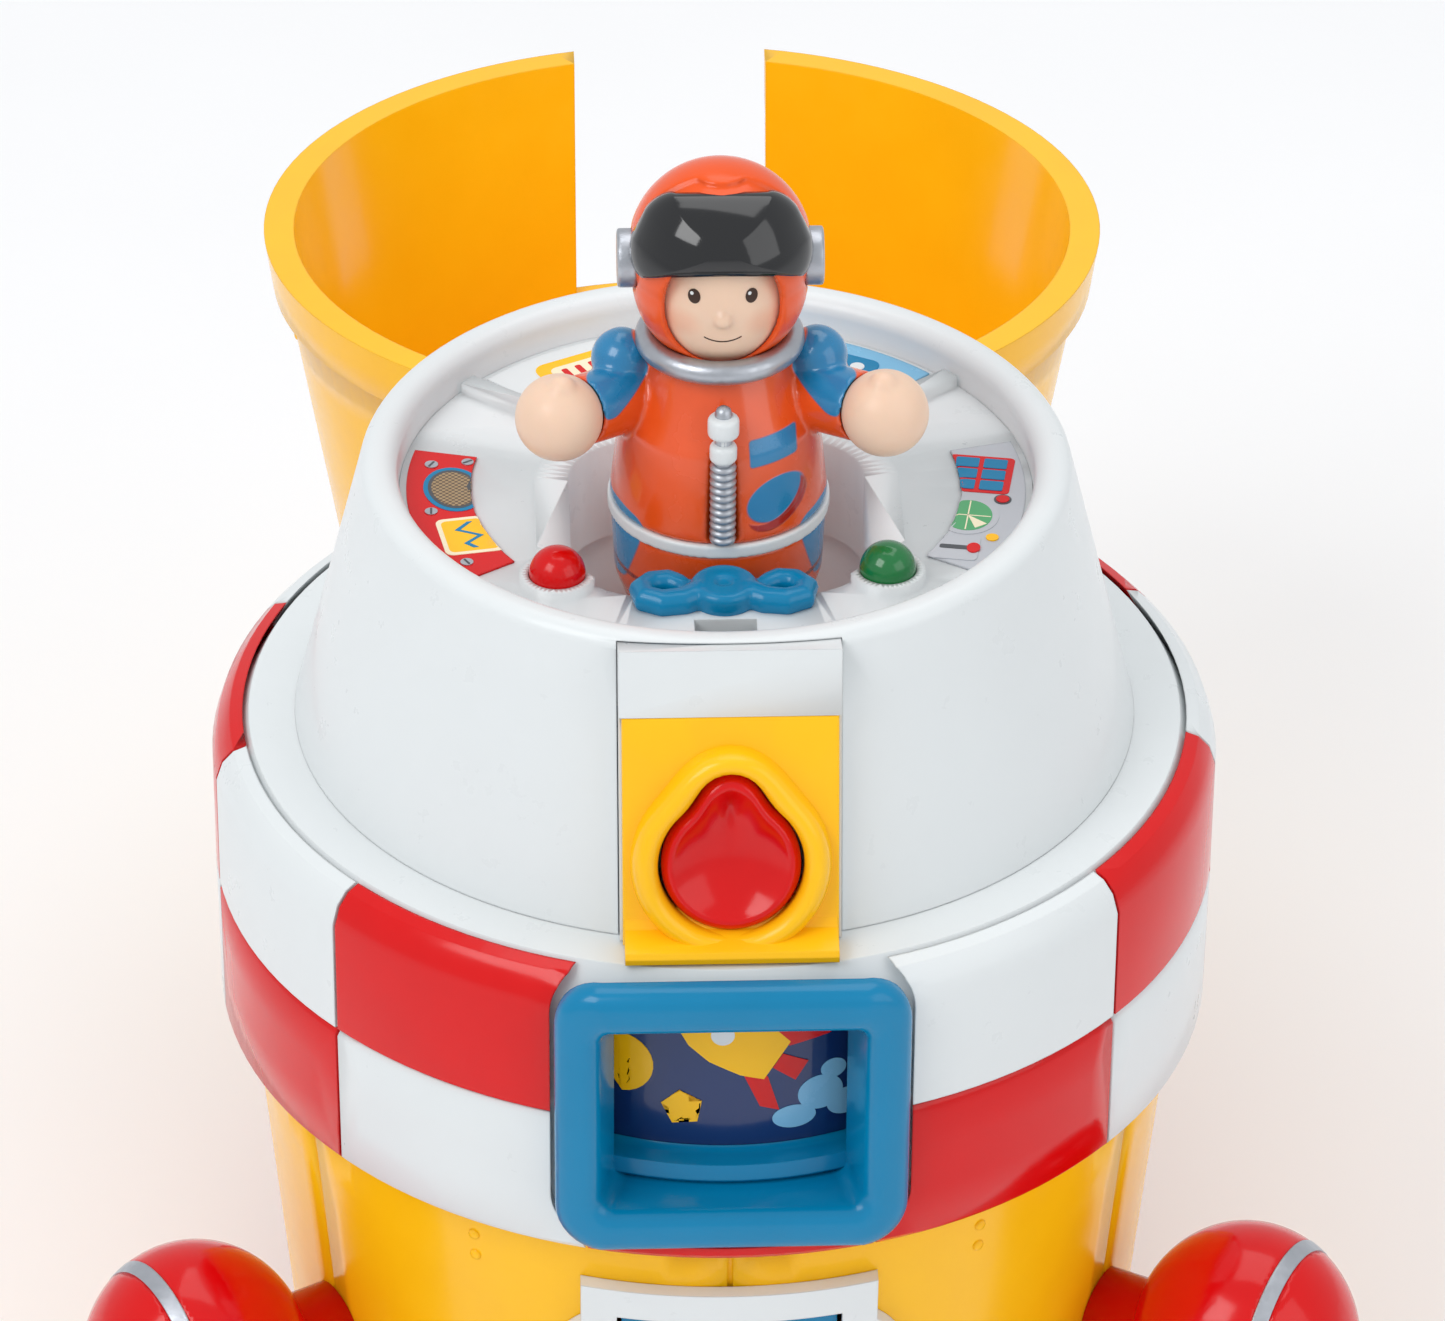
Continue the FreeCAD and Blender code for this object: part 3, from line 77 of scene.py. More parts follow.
# %% [markdown]
# ## Camera, floor and light
# A catalogue view of a toy uses a long lens from a little above, a white sweep and very soft light.
# The camera aims at one point near the top of the band. The three area lights could be one big dome,
# but separate panels give the long soft reflections that show a glossy plastic as glossy.

# %% Camera
scene = bpy.context.scene
eye = Vector((-39.2, -960.0, 791.9)) * MM
aim = Vector((1.3, 3.3, 165.0)) * MM
camera_data = bpy.data.cameras.new("studio camera")
camera_data.lens, camera_data.sensor_width = 189.37, 36
camera = bpy.data.objects.new("studio camera", camera_data)
scene.collection.objects.link(camera)
camera.location = eye
tilt = Matrix.Rotation(math.radians(0.44), 4, "Z")
camera.rotation_euler = ((aim - eye).to_track_quat("-Z", "Y").to_matrix().to_4x4() @ tilt).to_euler()
scene.camera = camera
print("camera distance", round((aim - eye).length, 3))


# %% Floor
def flat_square(name, size, height):
    """A square of floor, centred under the toy."""
    work = bmesh.new()
    bmesh.ops.create_grid(work, x_segments=8, y_segments=8, size=size)
    mesh = bpy.data.meshes.new(name)
    bmesh.ops.translate(work, verts=work.verts, vec=(0, 0, height))
    work.to_mesh(mesh)
    work.free()
    piece = bpy.data.objects.new(name, mesh)
    scene.collection.objects.link(piece)
    return piece


floor = flat_square("floor", 6.0, measured_low.z)


# %% Lights
def panel(name, place, size, power, tint=(1, 1, 1)):
    """A soft square light at place, aimed at the toy."""
    data = bpy.data.lights.new(name, "AREA")
    data.shape, data.size, data.energy, data.color = "SQUARE", size, power, tint
    light = bpy.data.objects.new(name, data)
    scene.collection.objects.link(light)
    light.location = place
    light.rotation_euler = (Vector((0, 0, 0.14)) - Vector(place)).to_track_quat("-Z", "Y").to_euler()
    return light


panel("key light", (-0.75, -0.65, 1.15), 0.7, 6.8)
panel("fill light", (0.95, -0.75, 0.75), 0.9, 2.8)
panel("top light", (0.1, 0.35, 1.3), 0.9, 4.0)
world = bpy.data.worlds.new("studio")
scene.world = world
world.use_nodes = True
world.node_tree.nodes["Background"].inputs["Color"].default_value = (0.96, 0.98, 1.0, 1)
world.node_tree.nodes["Background"].inputs["Strength"].default_value = 0.70
scene.view_settings.view_transform = "Standard"

# %% [markdown]
# ## Finishes
# Injection-moulded toy plastic isn't one flat colour: the pigment swirls a little, the gloss varies where hands rub it,
# and the surface has the very fine waviness of a polished mould. One recipe makes every plastic here.
# A rounded edge normal is added so that a sharp moulded edge still catches a thin highlight.


# %% The plastic recipe
def paint(code):
    """A linear colour from a six-digit web colour."""
    parts = [int(code[i:i + 2], 16) / 255 for i in (0, 2, 4)]
    return tuple(p / 12.92 if p <= 0.04045 else ((p + 0.055) / 1.055) ** 2.4 for p in parts) + (1.0,)


def shade(colour, factor):
    """The same colour, lighter or darker."""
    return tuple(min(1.0, c * factor) for c in colour[:3]) + (1.0,)


class Finish:
    """A material whose nodes are made one call at a time."""

    def __init__(self, name):
        self.material = bpy.data.materials.new(name)
        self.material.use_nodes = True
        self.tree = self.material.node_tree
        self.shader = self.tree.nodes["Principled BSDF"]
        self.place = self.add("ShaderNodeTexCoord").outputs["Object"]

    def add(self, kind, wires=None, **values):
        """A node. Wires are input name to socket, values are settings or input values."""
        made = self.tree.nodes.new(kind)
        for key, value in values.items():
            if key in made.inputs.keys():
                made.inputs[key].default_value = value
            else:
                setattr(made, key, value)
        for key, socket in (wires or {}).items():
            self.tree.links.new(socket, made.inputs[key])
        return made

    def join(self, socket, name):
        self.tree.links.new(socket, self.shader.inputs[name])

    def noise(self, size, detail=3.0, rough=0.5):
        """Noise with spots of about this size, in millimetres."""
        return self.add("ShaderNodeTexNoise", {"Vector": self.place},
                        Scale=1 / (size * MM), Detail=detail, Roughness=rough).outputs["Fac"]

    def span(self, socket, low, high, new_low, new_high):
        """A value led from one range to another."""
        made = self.add("ShaderNodeMapRange", {"Value": socket})
        for key, value in (("From Min", low), ("From Max", high), ("To Min", new_low), ("To Max", new_high)):
            made.inputs[key].default_value = value
        return made.outputs["Result"]

    def mix(self, factor, first, second):
        """A blend of two colours, each a colour or a socket."""
        made = self.add("ShaderNodeMix", {"Factor": factor}, data_type="RGBA")
        colour_a, colour_b, blend = 6, 7, 2   # by number, because the node has other sockets of the same names
        for index, value in ((colour_a, first), (colour_b, second)):
            if isinstance(value, tuple):
                made.inputs[index].default_value = value
            else:
                self.tree.links.new(value, made.inputs[index])
        return made.outputs[blend]

    def math(self, operation, first, second=0.0, third=0.0):
        """A sum or other operation on numbers and sockets."""
        made = self.add("ShaderNodeMath", operation=operation)
        for index, value in enumerate((first, second, third)):
            if isinstance(value, (int, float)):
                made.inputs[index].default_value = value
            else:
                self.tree.links.new(value, made.inputs[index])
        return made.outputs["Value"]

    def bump(self, height, depth, strength=1.0, edge=0.35):
        """Bump of this depth in millimetres over softly rounded edges."""
        wires = {"Height": height}
        if edge:
            wires["Normal"] = self.add("ShaderNodeBevel", samples=4, Radius=edge * MM).outputs["Normal"]
        made = self.add("ShaderNodeBump", wires, Strength=strength, Distance=depth * MM)
        self.join(made.outputs["Normal"], "Normal")

    def set(self, **values):
        """Constants on the shader, with underscores for the spaces in their names."""
        for key, value in values.items():
            self.shader.inputs[key.replace("_", " ")].default_value = value


FLESH_DEPTH = (0.004, 0.002, 0.001)           # how far red, green and blue light go into soft vinyl, in metres


def plastic(name, code, rough=0.22, coat=0.35, grain=0.012, wear=0.07, through=0.0, edge=0.35, swirl_by=0.03):
    """Moulded plastic: swirled pigment, uneven gloss and a faintly wavy surface."""
    finish = Finish(name)
    colour = paint(code)
    swirl = finish.span(finish.noise(14, 4.0), 0.3, 0.7, 0.0, 1.0)
    tone = finish.mix(swirl, shade(colour, 1 - swirl_by), shade(colour, 1 + swirl_by))
    specks = finish.span(finish.noise(0.6, 2.0), 0.62, 0.78, 0.0, 4 * swirl_by)
    finish.join(finish.mix(specks, tone, shade(colour, 0.88)), "Base Color")
    rubbed = finish.span(finish.noise(7, 5.0, 0.65), 0.35, 0.7, rough - wear * 0.4, rough + wear)
    finish.join(rubbed, "Roughness")
    finish.set(Coat_Weight=coat, Coat_Roughness=0.08, IOR=1.5, Specular_IOR_Level=0.28)
    if through:
        finish.set(Subsurface_Weight=through, Subsurface_Radius=FLESH_DEPTH, Subsurface_Scale=0.6)
    wavy = finish.math("ADD", finish.noise(3.5, 2.0), finish.math("MULTIPLY", finish.noise(0.35, 2.0), 0.25))
    finish.bump(wavy, grain, edge=edge)
    return finish.material


def metal(name, code, rough=0.3, brushed=0.0, edge=0.35):
    """Metal or silver paint with fine streaks and uneven gloss."""
    finish = Finish(name)
    colour = paint(code)
    finish.join(finish.mix(finish.noise(2.2, 5.0), shade(colour, 0.86), shade(colour, 1.06)), "Base Color")
    finish.join(finish.span(finish.noise(1.2, 4.0), 0.3, 0.7, rough - 0.06, rough + 0.12), "Roughness")
    finish.set(Metallic=0.85)
    finish.bump(finish.noise(0.5, 3.0), 0.02 + brushed, edge=edge)
    return finish.material


RECIPES = {                                   # colour, roughness, clear coat
    "yellow": ("FFC010", 0.20, 0.15), "white": ("DDE1E2", 0.30, 0.15), "red": ("D40508", 0.15, 0.15),
    "blue": ("017CAA", 0.20, 0.15), "green": ("16733A", 0.15, 0.6), "grey": ("B9BDC3", 0.35, 0.2),
    "print": ("132F63", 0.14, 0.5), "orange": ("E85418", 0.20, 0.15), "skin": ("E6C5AC", 0.38, 0.1),
    "black": ("101114", 0.08, 0.8), "dark grey": ("4A4D52", 0.3, 0.2), "brown": ("3A2419", 0.3, 0.3),
    "pale blue": ("7DB8DA", 0.25, 0.3), "cream": ("F4E9C8", 0.25, 0.3), "seam": ("C98C08", 0.4, 0.1),
    "leaf": ("4FA56B", 0.2, 0.4),
}
FINISHES, INKS = {}, {}                       # an ink is for thin printed shapes, which have no edge to round
for label, (code, rough, coat) in RECIPES.items():
    swirl = 0.008 if label == "white" else 0.03
    through = 0.12 if label == "skin" else 0.0
    FINISHES[label] = plastic(label + " plastic", code, rough, coat, swirl_by=swirl, through=through)
    INKS[label] = plastic(label + " ink", code, rough, coat, 0.006, swirl_by=swirl, edge=0)
FINISHES["silver"] = metal("silver paint", "B9BDC4", 0.34)
FINISHES["steel"] = metal("steel", "9FA3A8", 0.25, 0.01)
INKS["silver"] = metal("silver ink", "B9BDC4", 0.34, edge=0)
ground = Finish("studio floor")
ground.join(ground.mix(ground.noise(400, 2.0), (0.93, 0.93, 0.94, 1), (0.96, 0.96, 0.965, 1)), "Base Color")
ground.join(ground.span(ground.noise(60, 3.0), 0.3, 0.7, 0.55, 0.7), "Roughness")
ground.bump(ground.noise(4, 3.0), 0.05, edge=0)
FINISHES["floor"] = ground.material
floor.data.materials.append(FINISHES["floor"])
print("finishes:", len(FINISHES))

# %% [markdown]
# ## Taking a piece over from the measured model
# The measured pieces are loose triangles, right in shape but without shared corners.
# A copy with its corners merged can be shaded smooth across round faces and sharp at real edges.
# The copy rides on the same body and stands for the piece it was taken from.

# %% Taking a copy
MADE = set()                                  # measured pieces that a finer one stands for
NODE_BODY = {node: body for body, nodes in frame["record"]["behaviour"]["bodies"].items() for node in nodes}
SAME_CORNER = 2e-6                            # corners nearer than this, in metres, are one


def finish_piece(name, work, finish, body, slot, stands_for=(), angle=35, keep_normals=False):
    """A mesh object from a bmesh, shaded, painted and riding on its body."""
    bmesh.ops.remove_doubles(work, verts=work.verts, dist=SAME_CORNER)
    if not keep_normals:
        bmesh.ops.recalc_face_normals(work, faces=work.faces)
    mesh = bpy.data.meshes.new(name)
    work.to_mesh(mesh)
    work.free()
    mesh.materials.append(FINISHES[finish] if isinstance(finish, str) else finish)
    mesh.shade_smooth()
    mesh.set_sharp_from_angle(angle=math.radians(angle))
    piece = bpy.data.objects.new(name, mesh)
    scene.collection.objects.link(piece)
    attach(piece, body)
    if stands_for:
        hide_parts(*stands_for)
        MADE.update(stands_for)
    return piece


def take_over(node, finish, slot=None, angle=30):
    """A merged copy of a measured piece with this finish."""
    work = bmesh.new()
    work.from_mesh(frame["nodes"][node].data)
    return finish_piece("fine_" + node, work, finish, NODE_BODY[node], slot or finish, (node,), angle, True)


# %% [markdown]
# ## Mesh tools for this toy
# Most of the toy's details are pads, rings and printed shapes that lie on a curved wall.
# They are drawn flat first, in millimetres along and up the wall, and a small function then lays every corner on the wall.
# A ring keeps its cross-section all the way round, and a soft vinyl piece is made by remeshing and relaxing a measured one.

# %% Flat outlines
def low(node):
    """The measured piece's least x, y and z, in millimetres."""
    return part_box(node)[0] / MM


def high(node):
    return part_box(node)[1] / MM


def middle(node):
    return (low(node) + high(node)) / 2


FLANGE = high("band_core").z                  # the top face of the band, which everything above stands on


def polar(radius, degrees):
    """A flat point at this radius and angle."""
    return radius * math.cos(math.radians(degrees)), radius * math.sin(math.radians(degrees))


def rounded(half_wide, half_tall, corner, steps=8):
    """A rectangle with round corners, anticlockwise."""
    points = []
    for index, (sx, sy) in enumerate(((1, 1), (-1, 1), (-1, -1), (1, -1))):
        for step in range(steps + 1):
            x, y = polar(corner, 90 * (index + step / steps))
            points.append((sx * (half_wide - corner) + x, sy * (half_tall - corner) + y))
    return points


def oval(x, y, wide, tall, steps=36):
    """An ellipse by its full width and height."""
    turns = [math.tau * step / steps for step in range(steps)]
    return [(x + wide / 2 * math.cos(a), y + tall / 2 * math.sin(a)) for a in turns]


def moved(points, x=0.0, y=0.0, turn=0.0, scale=1.0):
    """Flat points turned by degrees, scaled and moved."""
    c, s = polar(1, turn)
    return [(x + scale * (u * c - v * s), y + scale * (u * s + v * c)) for u, v in points]


def star(x, y, outer, inner, turn=0.0, points=5):
    """A star with its first point upward, turned by degrees."""
    corners = [polar(inner if step % 2 else outer, turn + 90 + 180 * step / points) for step in range(2 * points)]
    return [(x + u, y + v) for u, v in corners]


def crescent(x, y, radius, turn=0.0, steps=18):
    """A moon: an outer arc, and an inner arc back between the same two horns."""
    outer = [polar(radius, 60 + 240 * k / steps) for k in range(steps + 1)]
    shift = 0.55 * radius                     # how far the inner arc's centre lies toward the horns
    horn = outer[0][0] - shift, outer[0][1]
    inner_r, start = math.hypot(*horn), math.degrees(math.atan2(horn[1], horn[0]))
    inner = [polar(inner_r, 360 - start - (360 - 2 * start) * k / steps) for k in range(1, steps)]
    return moved(outer + [(shift + u, v) for u, v in inner], x, y, turn)


# %% Laying shapes on a wall
def join_rings(work, first, second):
    """Four-cornered faces between two rings with the same number of corners."""
    for i in range(len(first)):
        n = (i + 1) % len(first)
        work.faces.new((first[i], first[n], second[n], second[i]))


def close_ring(work, ring, tip, flip=False):
    """A fan of faces from a ring to its tip."""
    for i in range(len(ring)):
        pair = ring[i], ring[(i + 1) % len(ring)]
        work.faces.new((tip, *reversed(pair)) if flip else (tip, *pair))


def lay_sheet(name, outlines, wall, finish, body, slot, under=0.0, over=0.12, grid=1.2):
    """Thin shapes with these outlines, bent to the wall, from under to over millimetres above it."""
    work = bmesh.new()
    for outline in outlines:
        work.faces.new([work.verts.new((u, v, 0)) for u, v in outline])
    bmesh.ops.triangulate(work, faces=work.faces[:], ngon_method="EAR_CLIP")
    for axis in (0, 1):                       # cut into a grid, so that flat shapes can bend
        values = [vert.co[axis] for vert in work.verts]
        cut, last = math.floor(min(values) / grid) * grid + grid, max(values)
        while cut < last:
            point, normal = Vector((0, 0, 0)), Vector((0, 0, 0))
            point[axis], normal[axis] = cut, 1
            bmesh.ops.bisect_plane(work, geom=work.verts[:] + work.edges[:] + work.faces[:], dist=1e-4,
                                   plane_co=point, plane_no=normal)
            cut += grid
    raised = bmesh.ops.extrude_face_region(work, geom=work.faces[:])
    for item in raised["geom"]:
        if isinstance(item, bmesh.types.BMVert):
            item.co.z = 1
    for vert in work.verts:
        point, normal = wall(vert.co.x, vert.co.y)
        vert.co = (point + normal * (over if vert.co.z > 0.5 else under)) * MM
    return finish_piece(name, work, INKS.get(finish, finish), body, slot, (), 50)


def lay_ring(name, outline, profile, wall, finish, body, slot, stands_for=(), angle=50):
    """A ring round outline(offset) on a wall. Its cross-section is profile, pairs of outward offset and height."""
    work = bmesh.new()
    columns = []
    for offset, height in profile:
        spots = [wall(u, v) for u, v in outline(offset)]
        columns.append([work.verts.new((point + normal * height) * MM) for point, normal in spots])
    for first, second in zip(columns, columns[1:] + columns[:1]):
        join_rings(work, first, second)
    return finish_piece(name, work, finish, body, slot, stands_for, angle)


def lay_pad(name, edge, height, wall, finish, body, slot, stands_for, rings, back):
    """A closed pad inside the outline edge: height(share, u, v) above the wall, with a back this deep."""
    work = bmesh.new()
    cu, cv = (sum(point[axis] for point in edge) / len(edge) for axis in (0, 1))

    def raised(share, u, v):
        """The corner at this share of the way from the pad's middle to an edge point."""
        pu, pv = cu + (u - cu) * share, cv + (v - cv) * share
        point, normal = wall(pu, pv)
        return work.verts.new((point + normal * height(share, pu, pv)) * MM)

    base = [work.verts.new((wall(u, v)[0] - wall(u, v)[1] * back) * MM) for u, v in edge]
    columns = [base] + [[raised(1 - k / rings, u, v) for u, v in edge] for k in range(rings)]
    for first, second in zip(columns, columns[1:]):
        join_rings(work, first, second)
    close_ring(work, columns[-1], raised(0, cu, cv))
    work.faces.new(base)
    return finish_piece(name, work, finish, body, slot, stands_for, 80)


def wall_of(piece, start, ray, across, up):
    """A wall function: it looks from start + u*across + v*up along ray, and finds the piece's surface."""
    tree = BVHTree.FromPolygons([v.co / MM for v in piece.data.vertices], [p.vertices[:] for p in piece.data.polygons])
    start, ray, across, up = (Vector(v) for v in (start, ray, across, up))

    def wall(u, v):
        origin = start + across * u + up * v
        hit, normal, _, _ = tree.ray_cast(origin, ray.normalized())
        if hit is None:
            hit, normal, _, _ = tree.find_nearest(origin + ray * 0.5)
        if normal.dot(ray) > 0:
            normal = -normal
        return hit, normal
    return wall


# %% Turned and swept pieces
def turn_shape(work, profile, centre, steps=64):
    """Adds a turned shape: profile is pairs of radius and height, closed at radius 0."""
    centre = Vector(centre)
    rings = []
    for radius, height in profile:
        turns = [math.tau * k / steps for k in range(steps if radius else 1)]
        rings.append([work.verts.new((centre + Vector((radius * math.cos(a), radius * math.sin(a), height))) * MM)
                      for a in turns])
    for first, second in zip(rings, rings[1:]):
        if len(first) == 1:
            close_ring(work, second, first[0], flip=True)
        elif len(second) == 1:
            close_ring(work, first, second[0])
        else:
            join_rings(work, first, second)


def arc(cx, cz, radius, start, end, steps=8):
    """Profile points on an arc, in degrees from the outward direction."""
    spots = [polar(radius, start + (end - start) * k / steps) for k in range(steps + 1)]
    return [(cx + x, cz + z) for x, z in spots]


def ball(radius, steps=8):
    """The profile of a ball, from pole to pole."""
    return [(0, -radius)] + arc(0, 0, radius, -80, 80, steps) + [(0, radius)]


def barrel(wide, tall, corner, steps=5):
    """The profile of a short drum with round edges, by its radius and half its height."""
    side = wide - corner
    return ([(0, -tall)] + arc(side, corner - tall, corner, -90, 0, steps)
            + arc(side, tall - corner, corner, 0, 90, steps) + [(0, tall)])


def sweep_rod(work, path, radii, sides=14):
    """Adds a rod along points, with a radius for each and with round ends."""
    path = [Vector(p) for p in path]
    stations, side = [], None
    for k, point in enumerate(path):
        ahead = (path[min(k + 1, len(path) - 1)] - path[max(k - 1, 0)]).normalized()
        side = ahead.orthogonal().normalized() if side is None else (side - ahead * side.dot(ahead)).normalized()
        stations.append((point, ahead, side, radii[k]))

    def circle(station, along=0.0):
        """The ring at a station, or in its round end, this share of the radius along."""
        point, ahead, side, r = station
        other, around = ahead.cross(side), [math.tau * i / sides for i in range(sides)]
        return [work.verts.new((point + ahead * r * along + (side * math.cos(a) + other * math.sin(a))
                                * (r * math.sqrt(1 - along * along))) * MM) for a in around]

    columns = [circle(stations[0], along) for along in (-0.92, -0.6)]
    columns += [circle(station) for station in stations]
    columns += [circle(stations[-1], along) for along in (0.6, 0.92)]
    for first, second in zip(columns, columns[1:]):
        join_rings(work, first, second)
    for ring, (point, ahead, _, r), way in ((columns[0], stations[0], -1), (columns[-1], stations[-1], 1)):
        close_ring(work, ring, work.verts.new((point + ahead * r * way) * MM), flip=way < 0)


def evaluated(carrier):
    """The mesh that a carrier's modifiers make. The carrier is then thrown away."""
    bpy.context.view_layer.update()
    result = bpy.data.meshes.new_from_object(carrier.evaluated_get(bpy.context.evaluated_depsgraph_get()))
    bpy.data.objects.remove(carrier)
    work = bmesh.new()
    work.from_mesh(result)
    return work


def soft_copy(node, finish, slot, voxel=0.45, relax=6, add=None, copy=True):
    """A vinyl-soft copy of a measured piece: remeshed evenly, then relaxed. Extra shapes can be added before."""
    work = bmesh.new()
    if copy:
        work.from_mesh(frame["nodes"][node].data)
        bmesh.ops.remove_doubles(work, verts=work.verts, dist=SAME_CORNER)
    if add:
        add(work)
    mesh = bpy.data.meshes.new("rough " + node)
    work.to_mesh(mesh)
    work.free()
    rough = bpy.data.objects.new("rough " + node, mesh)
    scene.collection.objects.link(rough)
    even = rough.modifiers.new("even", "REMESH")
    even.mode, even.voxel_size, even.adaptivity = "VOXEL", voxel * MM, 0
    calm = rough.modifiers.new("calm", "SMOOTH")
    calm.factor, calm.iterations = 0.5, relax
    return finish_piece("soft_" + node, evaluated(rough), finish, NODE_BODY[node], slot, (node,), 80, True)


# %% [markdown]
# ## The blue window frame
# The frame is a fat pillow of plastic clipped over the checkered band, bent to the band's curve.
# It is one cross-section led round a rounded rectangle. The same could be done with a curve and a bevel object,
# but laying it on the wall keeps its width the same all the way round the bend.

# %% Window frame
BAND_R = high("band_tiles_red").x
BEND_R = 77.5                                 # widths are true at this radius, inside the pillow
frame_low, frame_high = low("window_frame"), high("window_frame")
FRAME_MID = (frame_low.z + frame_high.z) / 2
FRAME_REACH = -frame_low.y                    # how far forward the frame's face stands
OPEN_WIDE, OPEN_TALL, FRAME_BAR = 19.25, 15.9, 7.0


def round_wall(radius, bend, x, y, z):
    """A wall round an upright axis at x and y: u millimetres round from the front, v above z."""
    def wall(u, v):
        angle = u / bend
        out = Vector((math.sin(angle), -math.cos(angle), 0))
        return Vector((x, y, z + v)) + out * radius, out
    return wall


def window_outline(offset):
    """The frame's outline this far out from its opening. Its upper and lower bars are thinner than its sides."""
    tall = (frame_high.z - frame_low.z) / 2
    return rounded(OPEN_WIDE + offset, OPEN_TALL + (tall - OPEN_TALL) * offset / FRAME_BAR, 2.4 + offset * 0.65)


proud = FRAME_REACH - BAND_R
pillow = [(0.0, -7.0), (0.0, proud - 2.6), (0.25, proud - 1.5), (0.8, proud - 0.7), (1.7, proud - 0.15),
          (2.8, proud), (4.2, proud), (5.3, proud - 0.2), (6.2, proud - 0.8), (6.8, proud - 1.8),
          (FRAME_BAR, proud - 2.9), (FRAME_BAR, 0.15), (6.0, 0.12), (1.5, 0.1), (1.5, -7.0)]
lay_ring("window_pillow", window_outline, pillow, round_wall(BAND_R, BEND_R, 0, 0, FRAME_MID), "blue", "rocket",
         "blue", ("window_frame",), 40)
print("window frame", round(2 * (OPEN_WIDE + FRAME_BAR), 1), "mm wide, front at", round(FRAME_REACH, 1))

# %% [markdown]
# ## The print behind the window
# A drum turns behind the window and carries a printed night scene, so its shapes are thin sheets bent to the drum.
# The scene is repeated round the drum, because a child can turn any part of it into the window.

# %% Night sky print
drum = middle("picture_drum")
SLEEVE_R = high("picture_sleeve").x
sleeve_wall = round_wall(SLEEVE_R, SLEEVE_R, drum.x, drum.y, middle("picture_sleeve").z)
HULL_SIDE = [(-7.6, 2.2), (-5.0, 3.7), (-1.5, 4.4), (3.0, 4.1), (6.0, 3.2)]
HULL = [(-9.0, 0.0)] + HULL_SIDE + [(x, -y) for x, y in reversed(HULL_SIDE)]
FIN = [(3.4, 3.9), (7.8, 7.0), (10.4, 6.4), (6.2, 2.6)]
FLAME = [(6.1, 1.2), (9.8, 1.6), (9.8, -1.6), (6.1, -1.2)]
STARS = ((-7.0, -8.4, 3.2, 1.35, 8), (14.5, 9.5, 1.5, 0.6, 0), (-16.5, 10.5, 1.3, 0.5, 0),
         (24.0, 2.0, 2.4, 1.0, 12), (29.0, -8.0, 1.3, 0.5, 0))
PUFFS = ((13.5, -7.0, 7.0, 6.0), (17.5, -9.6, 6.0, 4.6), (9.5, -10.6, 6.6, 4.0), (15.5, -3.2, 4.0, 3.4))


def in_flight(outline, at):
    """A part of the printed rocket, which climbs steeply to the left of this spot."""
    return moved(outline, at + 1.0, 3.5, -32, 1.15)


turn_of_print = math.tau * SLEEVE_R / 4
moons, stars, puffs, hulls, fins, ports = [], [], [], [], [], []
for quarter in (0, 1, 2, -1):
    at = quarter * turn_of_print
    moons.append(crescent(at - 16.5, -1.5, 5.2, 215))
    stars += [star(at + x, y, outer, inner, turn) for x, y, outer, inner, turn in STARS]
    hulls.append(in_flight(HULL, at))
    fins += [in_flight(outline, at) for outline in (FIN, [(x, -y) for x, y in FIN], FLAME)]
    ports.append(in_flight(oval(-2.2, 0, 3.0, 3.0), at))
    puffs += [oval(at + x, y, wide, tall) for x, y, wide, tall in PUFFS]
for label, shapes, finish, height in (
        ("print_smoke", puffs, "pale blue", 0.10), ("print_moon", moons, "yellow", 0.10),
        ("print_stars", stars, "yellow", 0.11), ("print_fins", fins, "red", 0.12),
        ("print_hull", hulls, "yellow", 0.13), ("print_port", ports, "white", 0.18)):
    lay_sheet(label, shapes, sleeve_wall, finish, "drum", "print", 0.0, height, 1.5)
print("print repeats every", round(turn_of_print, 1), "mm round the drum")

# %% [markdown]
# ## The latch
# The latch is a yellow plate with a fat pear-shaped ring, and a red button that is dished for a fingertip.
# Both follow one pear outline, made by blending a large circle with a small one above it, as clay would blend.
# The plate leans back with the white wall, so everything here is laid on that leaning wall.

# %% The pear outline and the leaning wall
lean = math.atan(0.25)                        # the white wall's slope
UP_WALL = Vector((0, math.sin(lean), math.cos(lean)))
OUT_WALL = Vector((0, -math.cos(lean), math.sin(lean)))
PLATE_PROUD = 1.8
WALL_FOOT = -high("cockpit_shell").x          # where the white wall meets the band, in front
face_origin = Vector((0, WALL_FOOT, FLANGE)) + OUT_WALL * PLATE_PROUD


def latch_wall(u, v):
    """On the plate's face: u across, v millimetres up the slope from the band."""
    return face_origin + Vector((u, 0, 0)) + UP_WALL * v, OUT_WALL


PEAR_V, LOBE_V, PEAR_R, LOBE_R, PEAR_BLEND = 12.9, 22.0, 10.2, 4.6, 2.6


def pear(offset, steps=72):
    """A pear outline that stands offset outside the button's edge, found by halving along each ray."""
    points = []
    for k in range(steps):
        a = math.tau * k / steps
        near, far = 0.0, 40.0
        for _ in range(30):
            mid = (near + far) / 2
            x, y = mid * math.cos(a), mid * math.sin(a)
            big = math.hypot(x, y) - (PEAR_R + offset)
            small = math.hypot(x, y - (LOBE_V - PEAR_V)) - (LOBE_R + offset * 0.95)
            blend = max(PEAR_BLEND - abs(big - small), 0) / PEAR_BLEND
            if min(big, small) - blend * blend * PEAR_BLEND * 0.25 < 0:
                near = mid
            else:
                far = mid
        points.append((near * math.cos(a), PEAR_V + near * math.sin(a)))
    return points


ring_bar = [(0.35, -1.0), (0.35, 1.6), (0.6, 2.5), (1.1, 3.2), (1.9, 3.6),
            (2.7, 3.5), (3.4, 2.9), (3.9, 1.9), (4.2, 0.8), (4.4, -0.4)]
lay_ring("latch_pear_ring", pear, ring_bar, latch_wall, "yellow", "rocket", "yellow", (), 60)
DISH_EDGE = 0.86                              # outside this share of the way out, the button's rim rolls over


